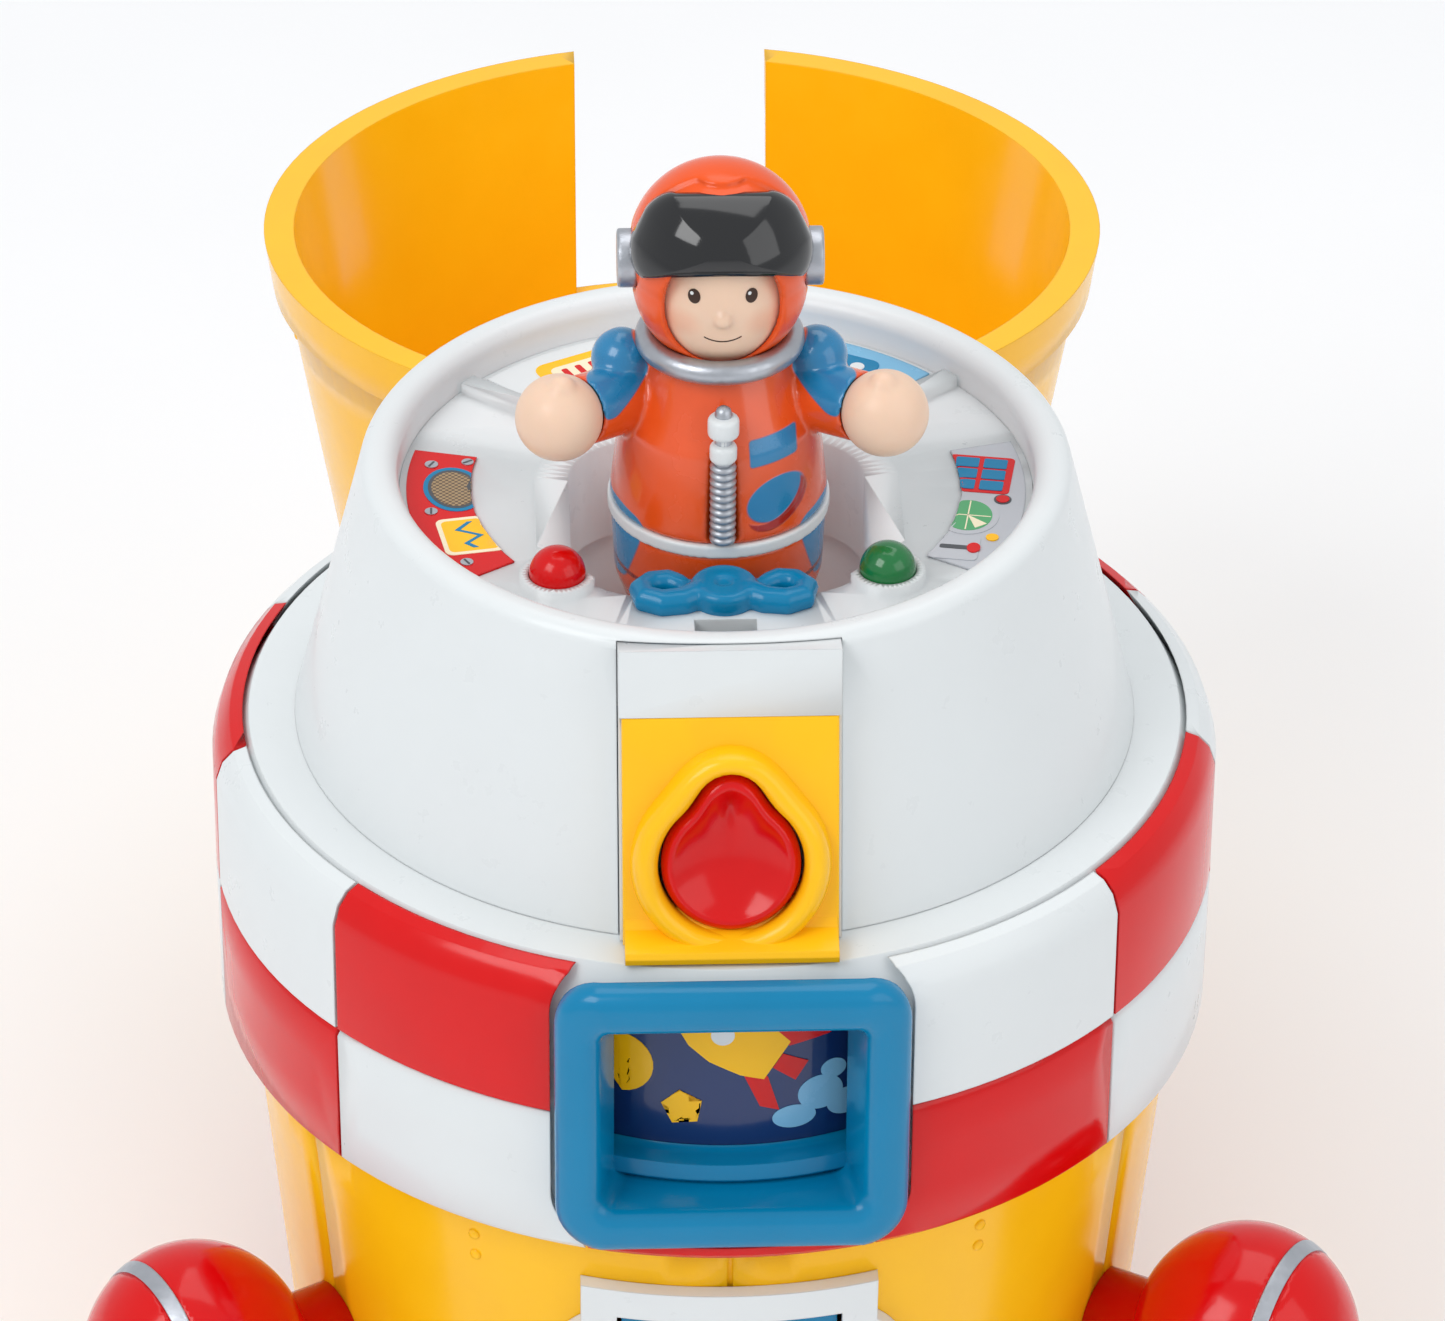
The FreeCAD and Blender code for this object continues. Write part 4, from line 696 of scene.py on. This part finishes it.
def button_height(share, u, v):
    """A rolled edge, a dish for the fingertip, and a drop-shaped dent in the small lobe."""
    edge = 2.1 - 1.3 * max(0.0, (share - DISH_EDGE) / (1 - DISH_EDGE)) ** 2
    dish = -3.3 * max(0.0, 1 - (share / DISH_EDGE) ** 2) ** 0.9
    dent = -1.3 * math.exp(-(u / 1.1) ** 2 - ((v - LOBE_V + 0.6) / 2.6) ** 2)
    return edge + dish + dent


lay_pad("latch_button_pear", pear(-0.15, 96), button_height, latch_wall, "red", "button", "red",
        ("latch_button",), 22, 1.4)

# %% The plate and its lip
PLATE_HALF, PLATE_FOOT, PLATE_TOP, LIP_HALF = 15.6, 0.3, 35.0, 15.4
lip_rows = [(0.6, 0.2), (6.9, 0.2), (7.6, 0.7), (7.7, 1.6), (7.2, 2.4), (5.2, 3.0), (2.6, 3.4), (0.6, 6.0)]
lip = bmesh.new()                             # the plate's foot, which turns forward over the band
ends = [[lip.verts.new(Vector((x, WALL_FOOT + 1.0 - out, FLANGE + up)) * MM) for out, up in lip_rows]
        for x in (-LIP_HALF, LIP_HALF)]
join_rings(lip, *ends)
lip.faces.new(ends[0])
lip.faces.new(reversed(ends[1]))
finish_piece("latch_lip", lip, "yellow", "rocket", "yellow")


def plate_outline(share):
    """From the pear hole, at share 0, to the plate's square edge, at share 1, along the same rays."""
    def ray(u, v):
        return math.atan2(v - PEAR_V, u) % math.tau

    corners = [ray(u, v) for u in (-PLATE_HALF, PLATE_HALF) for v in (PLATE_FOOT, PLATE_TOP)]
    hole = sorted((ray(u, v), math.hypot(u, v - PEAR_V)) for u, v in pear(0.4))
    points = []
    for a in sorted([angle for angle, _ in hole] + corners):
        near = min(hole, key=lambda spot: min(abs(spot[0] - a), math.tau - abs(spot[0] - a)))[1]
        c, s = math.cos(a), math.sin(a)
        side = PLATE_HALF / max(abs(c), 1e-6)
        rise = ((PLATE_TOP - PEAR_V) if s > 0 else (PEAR_V - PLATE_FOOT)) / max(abs(s), 1e-6)
        r = near + (min(side, rise) - near) * share
        points.append((r * c, PEAR_V + r * s))
    return points


plate_section = [(0, -1.5), (0, -0.1), (0.01, 0.0), (0.4, 0.0), (0.97, 0.0), (0.99, -0.1), (1.0, -0.4), (1.0, -1.5)]
lay_ring("latch_plate_face", plate_outline, plate_section, latch_wall, "yellow", "rocket", "yellow",
         ("latch_plate",), 25)

# %% The spring and the latch bracket, taken over as measured
spring = take_over("latch_spring", "steel")
inward = Vector(next(j for j in frame["joints"] if j["name"] == "latch_press")["axis"])
spring_mid = middle("latch_spring") * MM
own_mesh(spring)
take_over("latch_bracket", "white")
print("pear button", round(2 * PEAR_R, 1), "mm across")

# %% [markdown]
# ## The astronaut
# The little figure is one soft vinyl doll with painted details, so its shapes are round and its edges melt together.
# Remeshing the measured solids into even small faces and relaxing them gives that melted look without sculpting.
# The painted patches are drawn by the suit's own material, because paint follows the surface and has no thickness.

# %% Painted suit
SUIT_Z = low("figure_suit").z
AXIS_Y = middle("figure_neck_ring").y + 0.5
CHEST_BACK = AXIS_Y - 6                       # paint on the chest ends here
BLUE_PAINT, SHADOW_PAINT, SEAM_PAINT, BLUSH_PAINT = "157EB2", "A8140F", "8E1E0C", "E8926F"


def patch(finish, x, z, wide, tall, turn=0.0, corner=None, soft=0.12):
    """A mask that is 1 inside an oval centred at x and z millimetres, or with corner inside a rounded box."""
    do = finish.math
    split = finish.add("ShaderNodeSeparateXYZ", {"Vector": finish.place}).outputs
    px, pz = do("MULTIPLY_ADD", split["X"], 1000.0, -x), do("MULTIPLY_ADD", split["Z"], 1000.0, -z)
    c, s = polar(1, turn)
    turned = ((do("ADD", do("MULTIPLY", px, c), do("MULTIPLY", pz, s)), wide / 2),
              (do("SUBTRACT", do("MULTIPLY", pz, c), do("MULTIPLY", px, s)), tall / 2))
    if corner is None:
        squares = [do("POWER", do("ABSOLUTE", do("DIVIDE", far, half)), 2.0) for far, half in turned]
        out = do("MULTIPLY", do("SUBTRACT", do("SQRT", do("ADD", *squares)), 1.0), min(wide, tall) / 2)
    else:
        past = [do("MAXIMUM", do("SUBTRACT", do("ABSOLUTE", far), half - corner), 0.0) for far, half in turned]
        squares = [do("MULTIPLY", far, far) for far in past]
        out = do("SUBTRACT", do("SQRT", do("ADD", *squares)), corner)
    return finish.span(out, -soft, soft, 1.0, 0.0)


def in_front(finish, mask):
    """Keeps a mask off the figure's back."""
    depth = finish.add("ShaderNodeSeparateXYZ", {"Vector": finish.place}).outputs["Y"]
    front = finish.span(depth, (CHEST_BACK - 0.2) * MM, (CHEST_BACK + 0.2) * MM, 1.0, 0.0)
    return finish.math("MULTIPLY", mask, front)


def painted(name, base, layers, rough=0.2, coat=0.5, raise_by=0.12, through=0.0):
    """Vinyl with painted layers: pairs of a mask maker and a paint code."""
    finish = Finish(name)
    swirl = finish.span(finish.noise(12, 4.0), 0.3, 0.7, 0.0, 1.0)
    colour = finish.mix(swirl, shade(paint(base), 0.94), shade(paint(base), 1.05))
    height = finish.math("MULTIPLY", finish.noise(3.0, 3.0), 0.25)
    for maker, code in layers:
        mask = maker(finish)
        tone = finish.mix(finish.noise(5, 3.0), shade(paint(code), 0.93), shade(paint(code), 1.05))
        colour = finish.mix(mask, colour, tone)
        height = finish.math("ADD", height, finish.math("MULTIPLY", mask, 0.8))
    finish.join(colour, "Base Color")
    finish.join(finish.span(finish.noise(6, 4.0), 0.3, 0.7, rough - 0.04, rough + 0.12), "Roughness")
    finish.set(Coat_Weight=coat, Coat_Roughness=0.07, IOR=1.5)
    if through:
        finish.set(Subsurface_Weight=through, Subsurface_Radius=FLESH_DEPTH, Subsurface_Scale=0.5)
    finish.bump(height, raise_by, edge=0)
    return finish.material


def pocket_shadow(finish):
    """A dark sliver where the round pocket's patch leaves the one below it bare."""
    below = patch(finish, 8.1, SUIT_Z + 24.4, 9.4, 6.4, 30)
    cover = patch(finish, 6.9, SUIT_Z + 26.0, 9.8, 7.4, 30)
    return in_front(finish, finish.math("MULTIPLY", below, finish.math("SUBTRACT", 1.0, cover)))


layers = []
for side in (-1, 1):                          # a shoulder pad and a trouser panel on each side
    for x, z, wide, tall, turn, corner in ((15.3, 43.0, 7.4, 8.6, -32, 1.6), (15.2, 14.5, 5.4, 13.5, 14, 2.0)):
        spot = (side * x, SUIT_Z + z, wide, tall, side * turn, corner)
        layers.append((lambda finish, spot=spot: patch(finish, *spot), BLUE_PAINT))
layers += [(lambda finish: in_front(finish, patch(finish, 7.4, SUIT_Z + 33.4, 7.0, 4.0, 3, 0.5)), BLUE_PAINT),
           (lambda finish: in_front(finish, patch(finish, 7.8, SUIT_Z + 25.6, 8.8, 6.6, 22)), BLUE_PAINT),
           (pocket_shadow, SHADOW_PAINT),
           (lambda finish: patch(finish, 0.0, SUIT_Z + 9.8, 60, 0.7, 0, 0.3), SEAM_PAINT)]


def shoulders(work):
    """Round shoulder caps under the painted pads."""
    for side in (-1, 1):
        turn_shape(work, ball(4.6, 10), (side * 14.2, AXIS_Y + 0.3, SUIT_Z + 41.6), steps=28)


soft_copy("figure_suit", painted("painted suit", "E85418", layers), "orange", 0.42, 7, shoulders)

# %% Head and face
FACE_Y = low("figure_head").y
EYE_X, EYE_Z, CHEEK_X = 4.1, FLANGE + 82.2, 6.0


def nose_bump(work):
    turn_shape(work, ball(1.5), (0, FACE_Y + 0.35, EYE_Z - 3.3), steps=20)


def cheek(x):
    """A soft blush at this side of the face."""
    def maker(finish):
        return finish.math("MULTIPLY", patch(finish, x, EYE_Z - 4.6, 4.6, 3.6, soft=0.9), 0.30)
    return maker, BLUSH_PAINT


skin_paint = painted("painted face", "E8C6AC", [cheek(-CHEEK_X), cheek(CHEEK_X)], 0.36, 0.12, 0.01, 0.1)
head = soft_copy("figure_head", skin_paint, "skin", 0.36, 5, nose_bump)
face = wall_of(head, (0, FACE_Y - 20, 0), (0, 1, 0), (1, 0, 0), (0, 0, 1))
smile = [(-2.7 + 5.4 * k / 16, EYE_Z - 6.4 - 0.75 * (1 - (2 * k / 16 - 1) ** 2)) for k in range(17)]
eyes = [oval(side * EYE_X, EYE_Z, 1.75, 2.1, steps=20) for side in (-1, 1)]
glints = [oval(side * EYE_X - 0.3, EYE_Z + 0.4, 0.5, 0.5, steps=12) for side in (-1, 1)]
lay_sheet("eye_dots", eyes, face, "brown", "astronaut", "black", 0.0, 0.09, 0.4)
lay_sheet("eye_glints", glints, face, "white", "astronaut", "white", 0.05, 0.14, 0.3)
lay_sheet("smile", [smile + [(x, z - 0.22) for x, z in reversed(smile)]], face, "brown", "astronaut", "skin",
          0.0, 0.04, 0.4)


def thumbs(work):
    """A short round thumb on top of each ball hand."""
    hands = middle("figure_hands")
    for side in (-1, 1):
        hand = Vector((side * (high("figure_hands").x - 6.4), hands.y, hands.z))
        turn_shape(work, ball(2.3), hand + Vector((-side * 0.4, -1.0, 5.1)), steps=20)


soft_copy("figure_hands", "skin", "skin", 0.45, 5, thumbs)

# %% Helmet, visor and trim
soft_copy("figure_helmet", "orange", "orange", 0.36, 4)
HELMET = Vector((0, middle("figure_earpieces").y, middle("figure_earpieces").z + 1.5))
HELMET_R = (high("figure_helmet").x - low("figure_helmet").x) / 2


def helmet_wall(u, v):
    """On the helmet's ball: u round to the side, v up, from its front."""
    side, rise = u / HELMET_R, v / HELMET_R
    out = Vector((math.sin(side) * math.cos(rise), -math.cos(side) * math.cos(rise), math.sin(rise)))
    return HELMET + out * (HELMET_R - 0.2), out


def visor_height(share, u, v):
    return 1.8 - 0.75 * max(0.0, (share - 0.8) / 0.2) ** 2


visor_edge = moved(rounded(17.6, 6.6, 4.4, 10), 0, middle("figure_visor").z - HELMET.z - 1.0)
lay_pad("visor_glass", visor_edge, visor_height, helmet_wall, "black", "astronaut", "black", ("figure_visor",), 14, 0.8)
for node, finish, voxel, relax in (("figure_neck_ring", "silver", 0.32, 3), ("figure_earpieces", "silver", 0.32, 4),
                                   ("figure_belt", "white", 0.30, 2)):
    soft_copy(node, finish, finish, voxel, relax)

# %% [markdown]
# ## The corrugated hose
# A hose on the suit's chest is a row of equal rings, which is a rule rather than a shape.
# Geometry Nodes lay the rings: a line of points with one ring on each, so their number and size are inputs.

# %% Hose rings with Geometry Nodes
def node_group(name, inputs):
    """An empty node group with a geometry coming in and going out, and these named inputs."""
    group = bpy.data.node_groups.new(name, "GeometryNodeTree")
    group.interface.new_socket("Geometry", in_out="INPUT", socket_type="NodeSocketGeometry")
    for label, kind, value in inputs:
        socket = group.interface.new_socket(label, in_out="INPUT", socket_type=kind)
        socket.default_value = value
    group.interface.new_socket("Geometry", in_out="OUTPUT", socket_type="NodeSocketGeometry")
    return group


def add_node(group, kind, values=None, **settings):
    """A node whose inputs take the values and which itself takes the settings."""
    made = group.nodes.new(kind)
    for key, value in settings.items():
        setattr(made, key, value)
    for key, value in (values or {}).items():
        made.inputs[key].default_value = value
    return made


def wire(group, links):
    """Joins sockets. Each link is a node, its output, the next node and its input."""
    for start, key, end, name in links:
        group.links.new(start.outputs[key], end.inputs[name])


def run_nodes(name, group, base, values, finish, body, slot, stands_for=(), angle=40):
    """Runs a node group on a base mesh once, and keeps the result as a plain piece."""
    carrier = bpy.data.objects.new(name + " points", base)
    scene.collection.objects.link(carrier)
    live = carrier.modifiers.new("maker", "NODES")
    live.node_group = group
    for item in group.interface.items_tree:
        if item.item_type == "SOCKET" and item.in_out == "INPUT" and item.name in values:
            live[item.identifier] = values[item.name]
    return finish_piece(name, evaluated(carrier), finish, body, slot, stands_for, angle)


rings = node_group("hose rings", [("Foot", "NodeSocketVector", (0, 0, 0)), ("Head", "NodeSocketVector", (0, 0, 0.01)),
                                  ("Count", "NodeSocketInt", 12), ("Ring radius", "NodeSocketFloat", 0.002),
                                  ("Tube radius", "NodeSocketFloat", 0.0006)])
inside, outside = add_node(rings, "NodeGroupInput"), add_node(rings, "NodeGroupOutput")
line = add_node(rings, "GeometryNodeMeshLine", mode="END_POINTS")
circle = add_node(rings, "GeometryNodeCurvePrimitiveCircle", {"Resolution": 20})
section = add_node(rings, "GeometryNodeCurvePrimitiveCircle", {"Resolution": 10})
tube = add_node(rings, "GeometryNodeCurveToMesh")
copies = add_node(rings, "GeometryNodeInstanceOnPoints")
real = add_node(rings, "GeometryNodeRealizeInstances")
coat = add_node(rings, "GeometryNodeSetMaterial", {"Material": FINISHES["silver"]})
wire(rings, ((inside, "Foot", line, "Start Location"), (inside, "Head", line, "Offset"),
             (inside, "Count", line, "Count"), (inside, "Ring radius", circle, "Radius"),
             (inside, "Tube radius", section, "Radius"), (circle, "Curve", tube, "Curve"),
             (section, "Curve", tube, "Profile Curve"), (line, "Mesh", copies, "Points"),
             (tube, "Mesh", copies, "Instance"), (copies, "Instances", real, "Geometry"),
             (real, "Geometry", coat, "Geometry"), (coat, "Geometry", outside, "Geometry")))
hose_low, hose_high = low("figure_hose"), high("figure_hose")
hose_mid = middle("figure_hose")
HOSE_Y = hose_mid.y - 0.3
hose_top = hose_low.z + 0.55 * (hose_high.z - hose_low.z)
run_nodes("hose_rings", rings, bpy.data.meshes.new("hose base"),
          {"Foot": Vector((0, HOSE_Y, hose_low.z + 0.8)) * MM, "Head": Vector((0, HOSE_Y, hose_top)) * MM,
           "Count": 11, "Ring radius": 1.35 * MM, "Tube radius": 0.62 * MM}, "silver", "astronaut", "silver",
          ("figure_hose",))

# %% Hose core and valve
core = bmesh.new()
sweep_rod(core, [(0, HOSE_Y, z) for z in (hose_low.z + 1.4, hose_mid.z, hose_high.z - 1.6)], [1.3] * 3)
finish_piece("hose_core", core, "silver", "astronaut", "silver")
valve = bmesh.new()
for z, wide, tall in ((hose_top + 2.6, 2.0, 1.5), (hose_high.z - 3.6, 2.3, 1.7)):
    turn_shape(valve, barrel(wide, tall, 0.8), (0, hose_mid.y - 0.5, z), steps=28)
turn_shape(valve, barrel(1.0, 1.6, 0.5, 4), (0, hose_mid.y - 0.6, (hose_top + hose_high.z) / 2 - 0.4), steps=20)
finish_piece("hose_valve", valve, "white", "astronaut", "white")

# %% [markdown]
# ## The console
# The console's dials and keys are printed labels, so they are thin shapes laid on the sloping label plates.
# A ray looks straight down to find the plate under each corner. A label could also be one printed texture,
# but separate thin shapes stay crisp from any distance.

# %% Printed dials and keys
LABEL_R = 38.2                                # the radius of the labels' middle line on the console


def label_wall(node, degrees):
    """A wall on a label: u grows round the console, v grows outward, from the label's middle line."""
    a = math.radians(degrees)
    out, round_way = Vector((math.sin(a), -math.cos(a), 0)), Vector((math.cos(a), math.sin(a), 0))
    return wall_of(frame["nodes"][node], out * LABEL_R + Vector((0, 0, FLANGE + 80)), (0, 0, -1), round_way, out)


mesh_paint = Finish("speaker mesh")
WEAVE = 6800.0                                # how closely the speaker's threads lie
split = mesh_paint.add("ShaderNodeSeparateXYZ", {"Vector": mesh_paint.place}).outputs
threads = [mesh_paint.math("SINE", mesh_paint.math("MULTIPLY", split[axis], WEAVE)) for axis in ("X", "Y")]
weave = mesh_paint.math("MULTIPLY", *threads)
open_weave = mesh_paint.span(weave, -0.3, 0.3, 0.0, 1.0)
mesh_paint.join(mesh_paint.mix(open_weave, paint("5E4A36"), paint("A98F68")), "Base Color")
mesh_paint.join(mesh_paint.span(mesh_paint.noise(1.5, 3.0), 0.3, 0.7, 0.35, 0.5), "Roughness")
mesh_paint.bump(weave, 0.05, edge=0)
FINISHES["mesh"] = mesh_paint.material


def box(x, y, half_wide, half_tall, corner, steps=6, turn=0.0):
    return moved(rounded(half_wide, half_tall, corner, steps), x, y, turn)


left, right = label_wall("label_speaker", -80), label_wall("label_radar", 80)
back_left, back_right = label_wall("label_rear_left", -152), label_wall("label_rear_right", 152)
SPEAKER, SCREEN, KEYPAD, ALARM = (-6.4, 0.2), (6.6, 0.2), (8.6, 0.2), (2.0, 4.4)
RADAR, LEVER_X = (-3.2, -0.2), -12.2
SCREWS = ((-14.0, 2.2, 2.0, 40), (-1.0, 4.6, 1.9, 10), (-13.6, -3.2, 1.8, 70), (13.8, 2.0, 1.9, -20))
WAVE = [(-3.6, -0.3), (-1.6, 1.9), (0.4, -1.2), (2.2, 1.2), (3.6, 0.0),
        (3.6, -0.8), (2.2, 0.3), (0.4, -2.1), (-1.6, 1.0), (-3.6, -1.1)]
keys = [box(KEYPAD[0] + 3.1 * (i - 1), KEYPAD[1] + 4.2 * (j - 0.5), 1.3, 1.75, 0.3, 3)
        for i in range(3) for j in range(2)]
beam = [[RADAR, (-6.6, 1.2), (-5.2, 2.8)], box(*RADAR, 4.0, 0.1, 0.05, 2), box(*RADAR, 3.4, 0.1, 0.05, 2, 90)]
DIALS = [                                     # wall, piece, finish, outlines, height
    (left, "speaker_rim", "blue", [oval(*SPEAKER, 12.4, 9.0)], 0.10),
    (left, "speaker_dark", "dark grey", [oval(*SPEAKER, 10.8, 7.6)], 0.13),
    (left, "speaker_mesh", "mesh", [oval(*SPEAKER, 9.6, 6.6)], 0.16),
    (left, "screen_rim", "cream", [box(*SCREEN, 5.0, 4.4, 1.2)], 0.10),
    (left, "screen_face", "yellow", [box(*SCREEN, 4.3, 3.7, 0.9)], 0.13),
    (left, "screen_wave", "blue", [moved(WAVE, SCREEN[0], 0.3)], 0.17),
    (left, "label_screws", "silver", [oval(x, y, wide, wide) for x, y, wide, _ in SCREWS], 0.16),
    (left, "label_slots", "dark grey", [box(x, y, 0.8, 0.16, 0.1, 3, turn) for x, y, _, turn in SCREWS], 0.2),
    (right, "keypad_rim", "red", [box(*KEYPAD, 5.1, 4.9, 0.8)], 0.10),
    (right, "keypad_keys", "blue", keys, 0.2),
    (right, "alarm_rim", "dark grey", [oval(*ALARM, 2.6, 2.6)], 0.11),
    (right, "alarm_button", "red", [oval(*ALARM, 2.0, 2.0)], 0.2),
    (right, "radar_rim", "grey", [oval(*RADAR, 10.4, 9.2)], 0.10),
    (right, "radar_face", "leaf", [oval(*RADAR, 8.4, 7.2)], 0.14),
    (right, "radar_beam", "cream", beam, 0.18),
    (right, "small_button", "yellow", [oval(-8.8, 4.0, 1.9, 1.9)], 0.2),
    (right, "lever_plate", "grey", [box(LEVER_X, -1.2, 3.3, 3.6, 0.8, 5)], 0.12),
    (right, "lever_arm", "dark grey", [box(LEVER_X, -1.0, 0.5, 2.4, 0.4, 5)], 0.2),
    (right, "lever_knob", "red", [oval(LEVER_X, 1.6, 2.6, 2.0)], 0.3),
    (back_left, "frame_yellow", "yellow", [box(0, 0, 7.6, 4.8, 2.0)], 0.10),
    (back_left, "frame_middle", "cream", [box(0, 0, 5.6, 3.0, 1.2)], 0.14),
    (back_left, "frame_bars", "red", [box(x, 0, 0.5, 2.0, 0.3, 3) for x in (-3.4, -1.1, 1.2, 3.5)], 0.18),
    (back_right, "panel_blue", "blue", [box(0, 0, 7.4, 4.8, 1.6)], 0.10),
    (back_right, "panel_keys", "white", [oval(x, y, 2.2, 2.2) for x in (-4.4, -1.4, 1.6, 4.6) for y in (-2, 2)], 0.2),
]
for wall, name, finish, shapes, height in DIALS:
    lay_sheet(name, shapes, wall, finish, "rocket", "print", 0.0, height, 1.5)
for node, finish in (("label_speaker", "red"), ("label_radar", "grey"), ("label_rear_left", "white"),
                     ("label_rear_right", "pale blue")):
    take_over(node, finish, "print")
print("printed shapes:", len(DIALS))

# %% [markdown]
# ## The steering yoke
# The yoke is a fat hub with two curled handles, moulded in one piece.
# Each handle is a rod swept along a hooked line, which is how a modeller would roll it from clay.

# %% Yoke
YOKE_Y, YOKE_Z = middle("steering_yoke").y, high("steering_yoke").z - 2.2
HOOK = [(3.4, -0.6), (6.0, -2.4), (9.0, -2.9), (11.4, -1.7), (11.9, 0.6), (10.4, 2.5), (8.0, 2.9), (6.4, 1.9)]
HOOK_RADII = [2.3, 2.15, 2.1, 2.05, 2.0, 1.95, 1.9, 1.7]


def yoke_parts(work):
    hub = [(0, -2.0)] + arc(3.7, -0.6, 1.3, -90, 0, 5) + arc(3.7, 0.7, 1.3, 0, 80, 6)
    turn_shape(work, hub + [(1.5, 1.95), (1.1, 1.45), (0, 1.4)], (0, YOKE_Y, YOKE_Z), steps=36)
    for side in (-1, 1):
        sweep_rod(work, [(side * x, YOKE_Y + y, YOKE_Z - 0.1) for x, y in HOOK], HOOK_RADII, sides=16)


soft_copy("steering_yoke", "blue", "blue", 0.3, 3, yoke_parts, copy=False)

# %% [markdown]
# ## Panel lines and rivets
# The nose and the body are dressed as if they were built from riveted panels.
# Panel lines are thin strips laid on the wall. Rivets repeat by a rule, so Geometry Nodes set one small dome on each
# marked point, turned to face the same way as the wall, and the marked points carry that direction with them.

# %% Rivet maker
rivets = node_group("rivets on points", [("Radius", "NodeSocketFloat", 0.001), ("Flatness", "NodeSocketFloat", 0.55)])
inside, outside = add_node(rivets, "NodeGroupInput"), add_node(rivets, "NodeGroupOutput")
dome = add_node(rivets, "GeometryNodeMeshUVSphere", {"Segments": 12, "Rings": 8})
facing = add_node(rivets, "GeometryNodeInputNamedAttribute", {"Name": "facing"}, data_type="FLOAT_VECTOR")
turned_to = add_node(rivets, "FunctionNodeAlignRotationToVector", axis="Z")
spread = add_node(rivets, "GeometryNodeInstanceOnPoints")
flat = add_node(rivets, "ShaderNodeCombineXYZ", {"X": 1, "Y": 1})
real = add_node(rivets, "GeometryNodeRealizeInstances")
coat = add_node(rivets, "GeometryNodeSetMaterial", {"Material": FINISHES["yellow"]})
wire(rivets, ((inside, "Geometry", spread, "Points"), (inside, "Radius", dome, "Radius"),
              (dome, "Mesh", spread, "Instance"), (facing, "Attribute", turned_to, "Vector"),
              (turned_to, "Rotation", spread, "Rotation"), (inside, "Flatness", flat, "Z"),
              (flat, "Vector", spread, "Scale"), (spread, "Instances", real, "Geometry"),
              (real, "Geometry", coat, "Geometry"), (coat, "Geometry", outside, "Geometry")))


def rivet_field(name, spots, radius, body):
    """Yellow rivets at spots, pairs of place and facing direction, in millimetres."""
    points = bpy.data.meshes.new(name + " marks")
    points.from_pydata([place * MM for place, _ in spots], [], [])
    ways = points.attributes.new("facing", "FLOAT_VECTOR", "POINT")
    for index, (_, way) in enumerate(spots):
        ways.data[index].vector = way
    run_nodes(name, rivets, points, {"Radius": radius * MM, "Flatness": 0.6}, "yellow", body, "yellow")
    print(name, len(spots))


# %% Nose panel lines and rivets
hinge = next(j for j in frame["joints"] if j["name"] == "nose_hinge")
pivot = Vector(hinge["pos_m"]) / MM
open_by = (Matrix.Translation(pivot) @ Matrix.Rotation(math.radians(min(hinge["range_deg"])), 4, "X")
           @ Matrix.Translation(-pivot))
NOSE_WALL_R, NOSE_WALL_SLOPE, NOSE_FOOT = 68.2, 0.175, FLANGE + 0.3


def nose_wall(degrees):
    """A wall on the nose: u across a line at this angle from the latch's side, v up from the nose's foot when shut."""
    def wall(u, v):
        r = NOSE_WALL_R - NOSE_WALL_SLOPE * v
        a = math.radians(degrees) + u / r
        spot = Vector((r * math.sin(a), -r * math.cos(a), NOSE_FOOT + v))
        out = Vector((math.sin(a), -math.cos(a), NOSE_WALL_SLOPE)).normalized()
        return open_by @ spot, (open_by.to_3x3() @ out).normalized()
    return wall


LINE_HALF, LINE_LOW, LINE_HIGH = 0.22, 11.6, 50.0
strip = [(-LINE_HALF, LINE_LOW), (LINE_HALF, LINE_LOW), (LINE_HALF, LINE_HIGH), (-LINE_HALF, LINE_HIGH)]
spots = []
for k in range(7):
    wall = nose_wall(45 * (k + 1))
    lay_sheet(f"nose_line_{k}", [strip], wall, "seam", "nose", "yellow", -0.1, 0.05, 4.0)
    spots += [wall(u, v) for u in (-3.0, 3.0) for v in (15.0, 19.0)]
rivet_field("nose_rivets", spots, 0.85, "nose")

# %% Body rivets
body_top = high("body_shell").z
TOP_R, BODY_SLOPE = 71.5, 0.09
spots = []
for degrees in (-96, -84, -32, 32, 84, 96, -156, -144, 144, 156, 174, 186):
    a = math.radians(degrees)
    out = Vector((math.sin(a), -math.cos(a), -BODY_SLOPE)).normalized()
    for drop in (6.0, 10.0, 66.0, 70.0):
        r = TOP_R - BODY_SLOPE * drop
        spots.append((Vector((r * math.sin(a), -r * math.cos(a), body_top - drop)), out))
rivet_field("body_rivets", spots, 0.95, "rocket")

# %% [markdown]
# ## The plain moulded pieces
# Everything that has no finer mesh by now is right as it was measured, and only needs its own plastic or metal.

# %% Pieces taken over
PLAIN = {
    "body_shell": "yellow", "base_plate": "yellow", "base_screws": "steel", "cargo_floor": "yellow",
    "door_frame": "white", "cargo_door": "blue", "door_pin": "steel",
    "booster_front_left": "red", "booster_front_right": "red", "booster_rear_left": "red",
    "booster_rear_right": "red", "booster_stripes": "silver", "booster_nozzles": "silver", "band_core": "white",
    "band_tiles_red": "red", "band_tiles_white": "white", "picture_drum": "blue", "picture_sleeve": "print",
    "drum_spindle": "white", "cockpit_shell": "white", "cockpit_tray": "white", "dome_button_red": "red",
    "dome_button_green": "green", "latch_catch": "grey", "nose_cone": "yellow", "hinge_bracket": "yellow",
    "hinge_pin": "steel",
}
for node, finish in PLAIN.items():
    take_over(node, finish)
print("pieces made or taken over:", len(MADE))
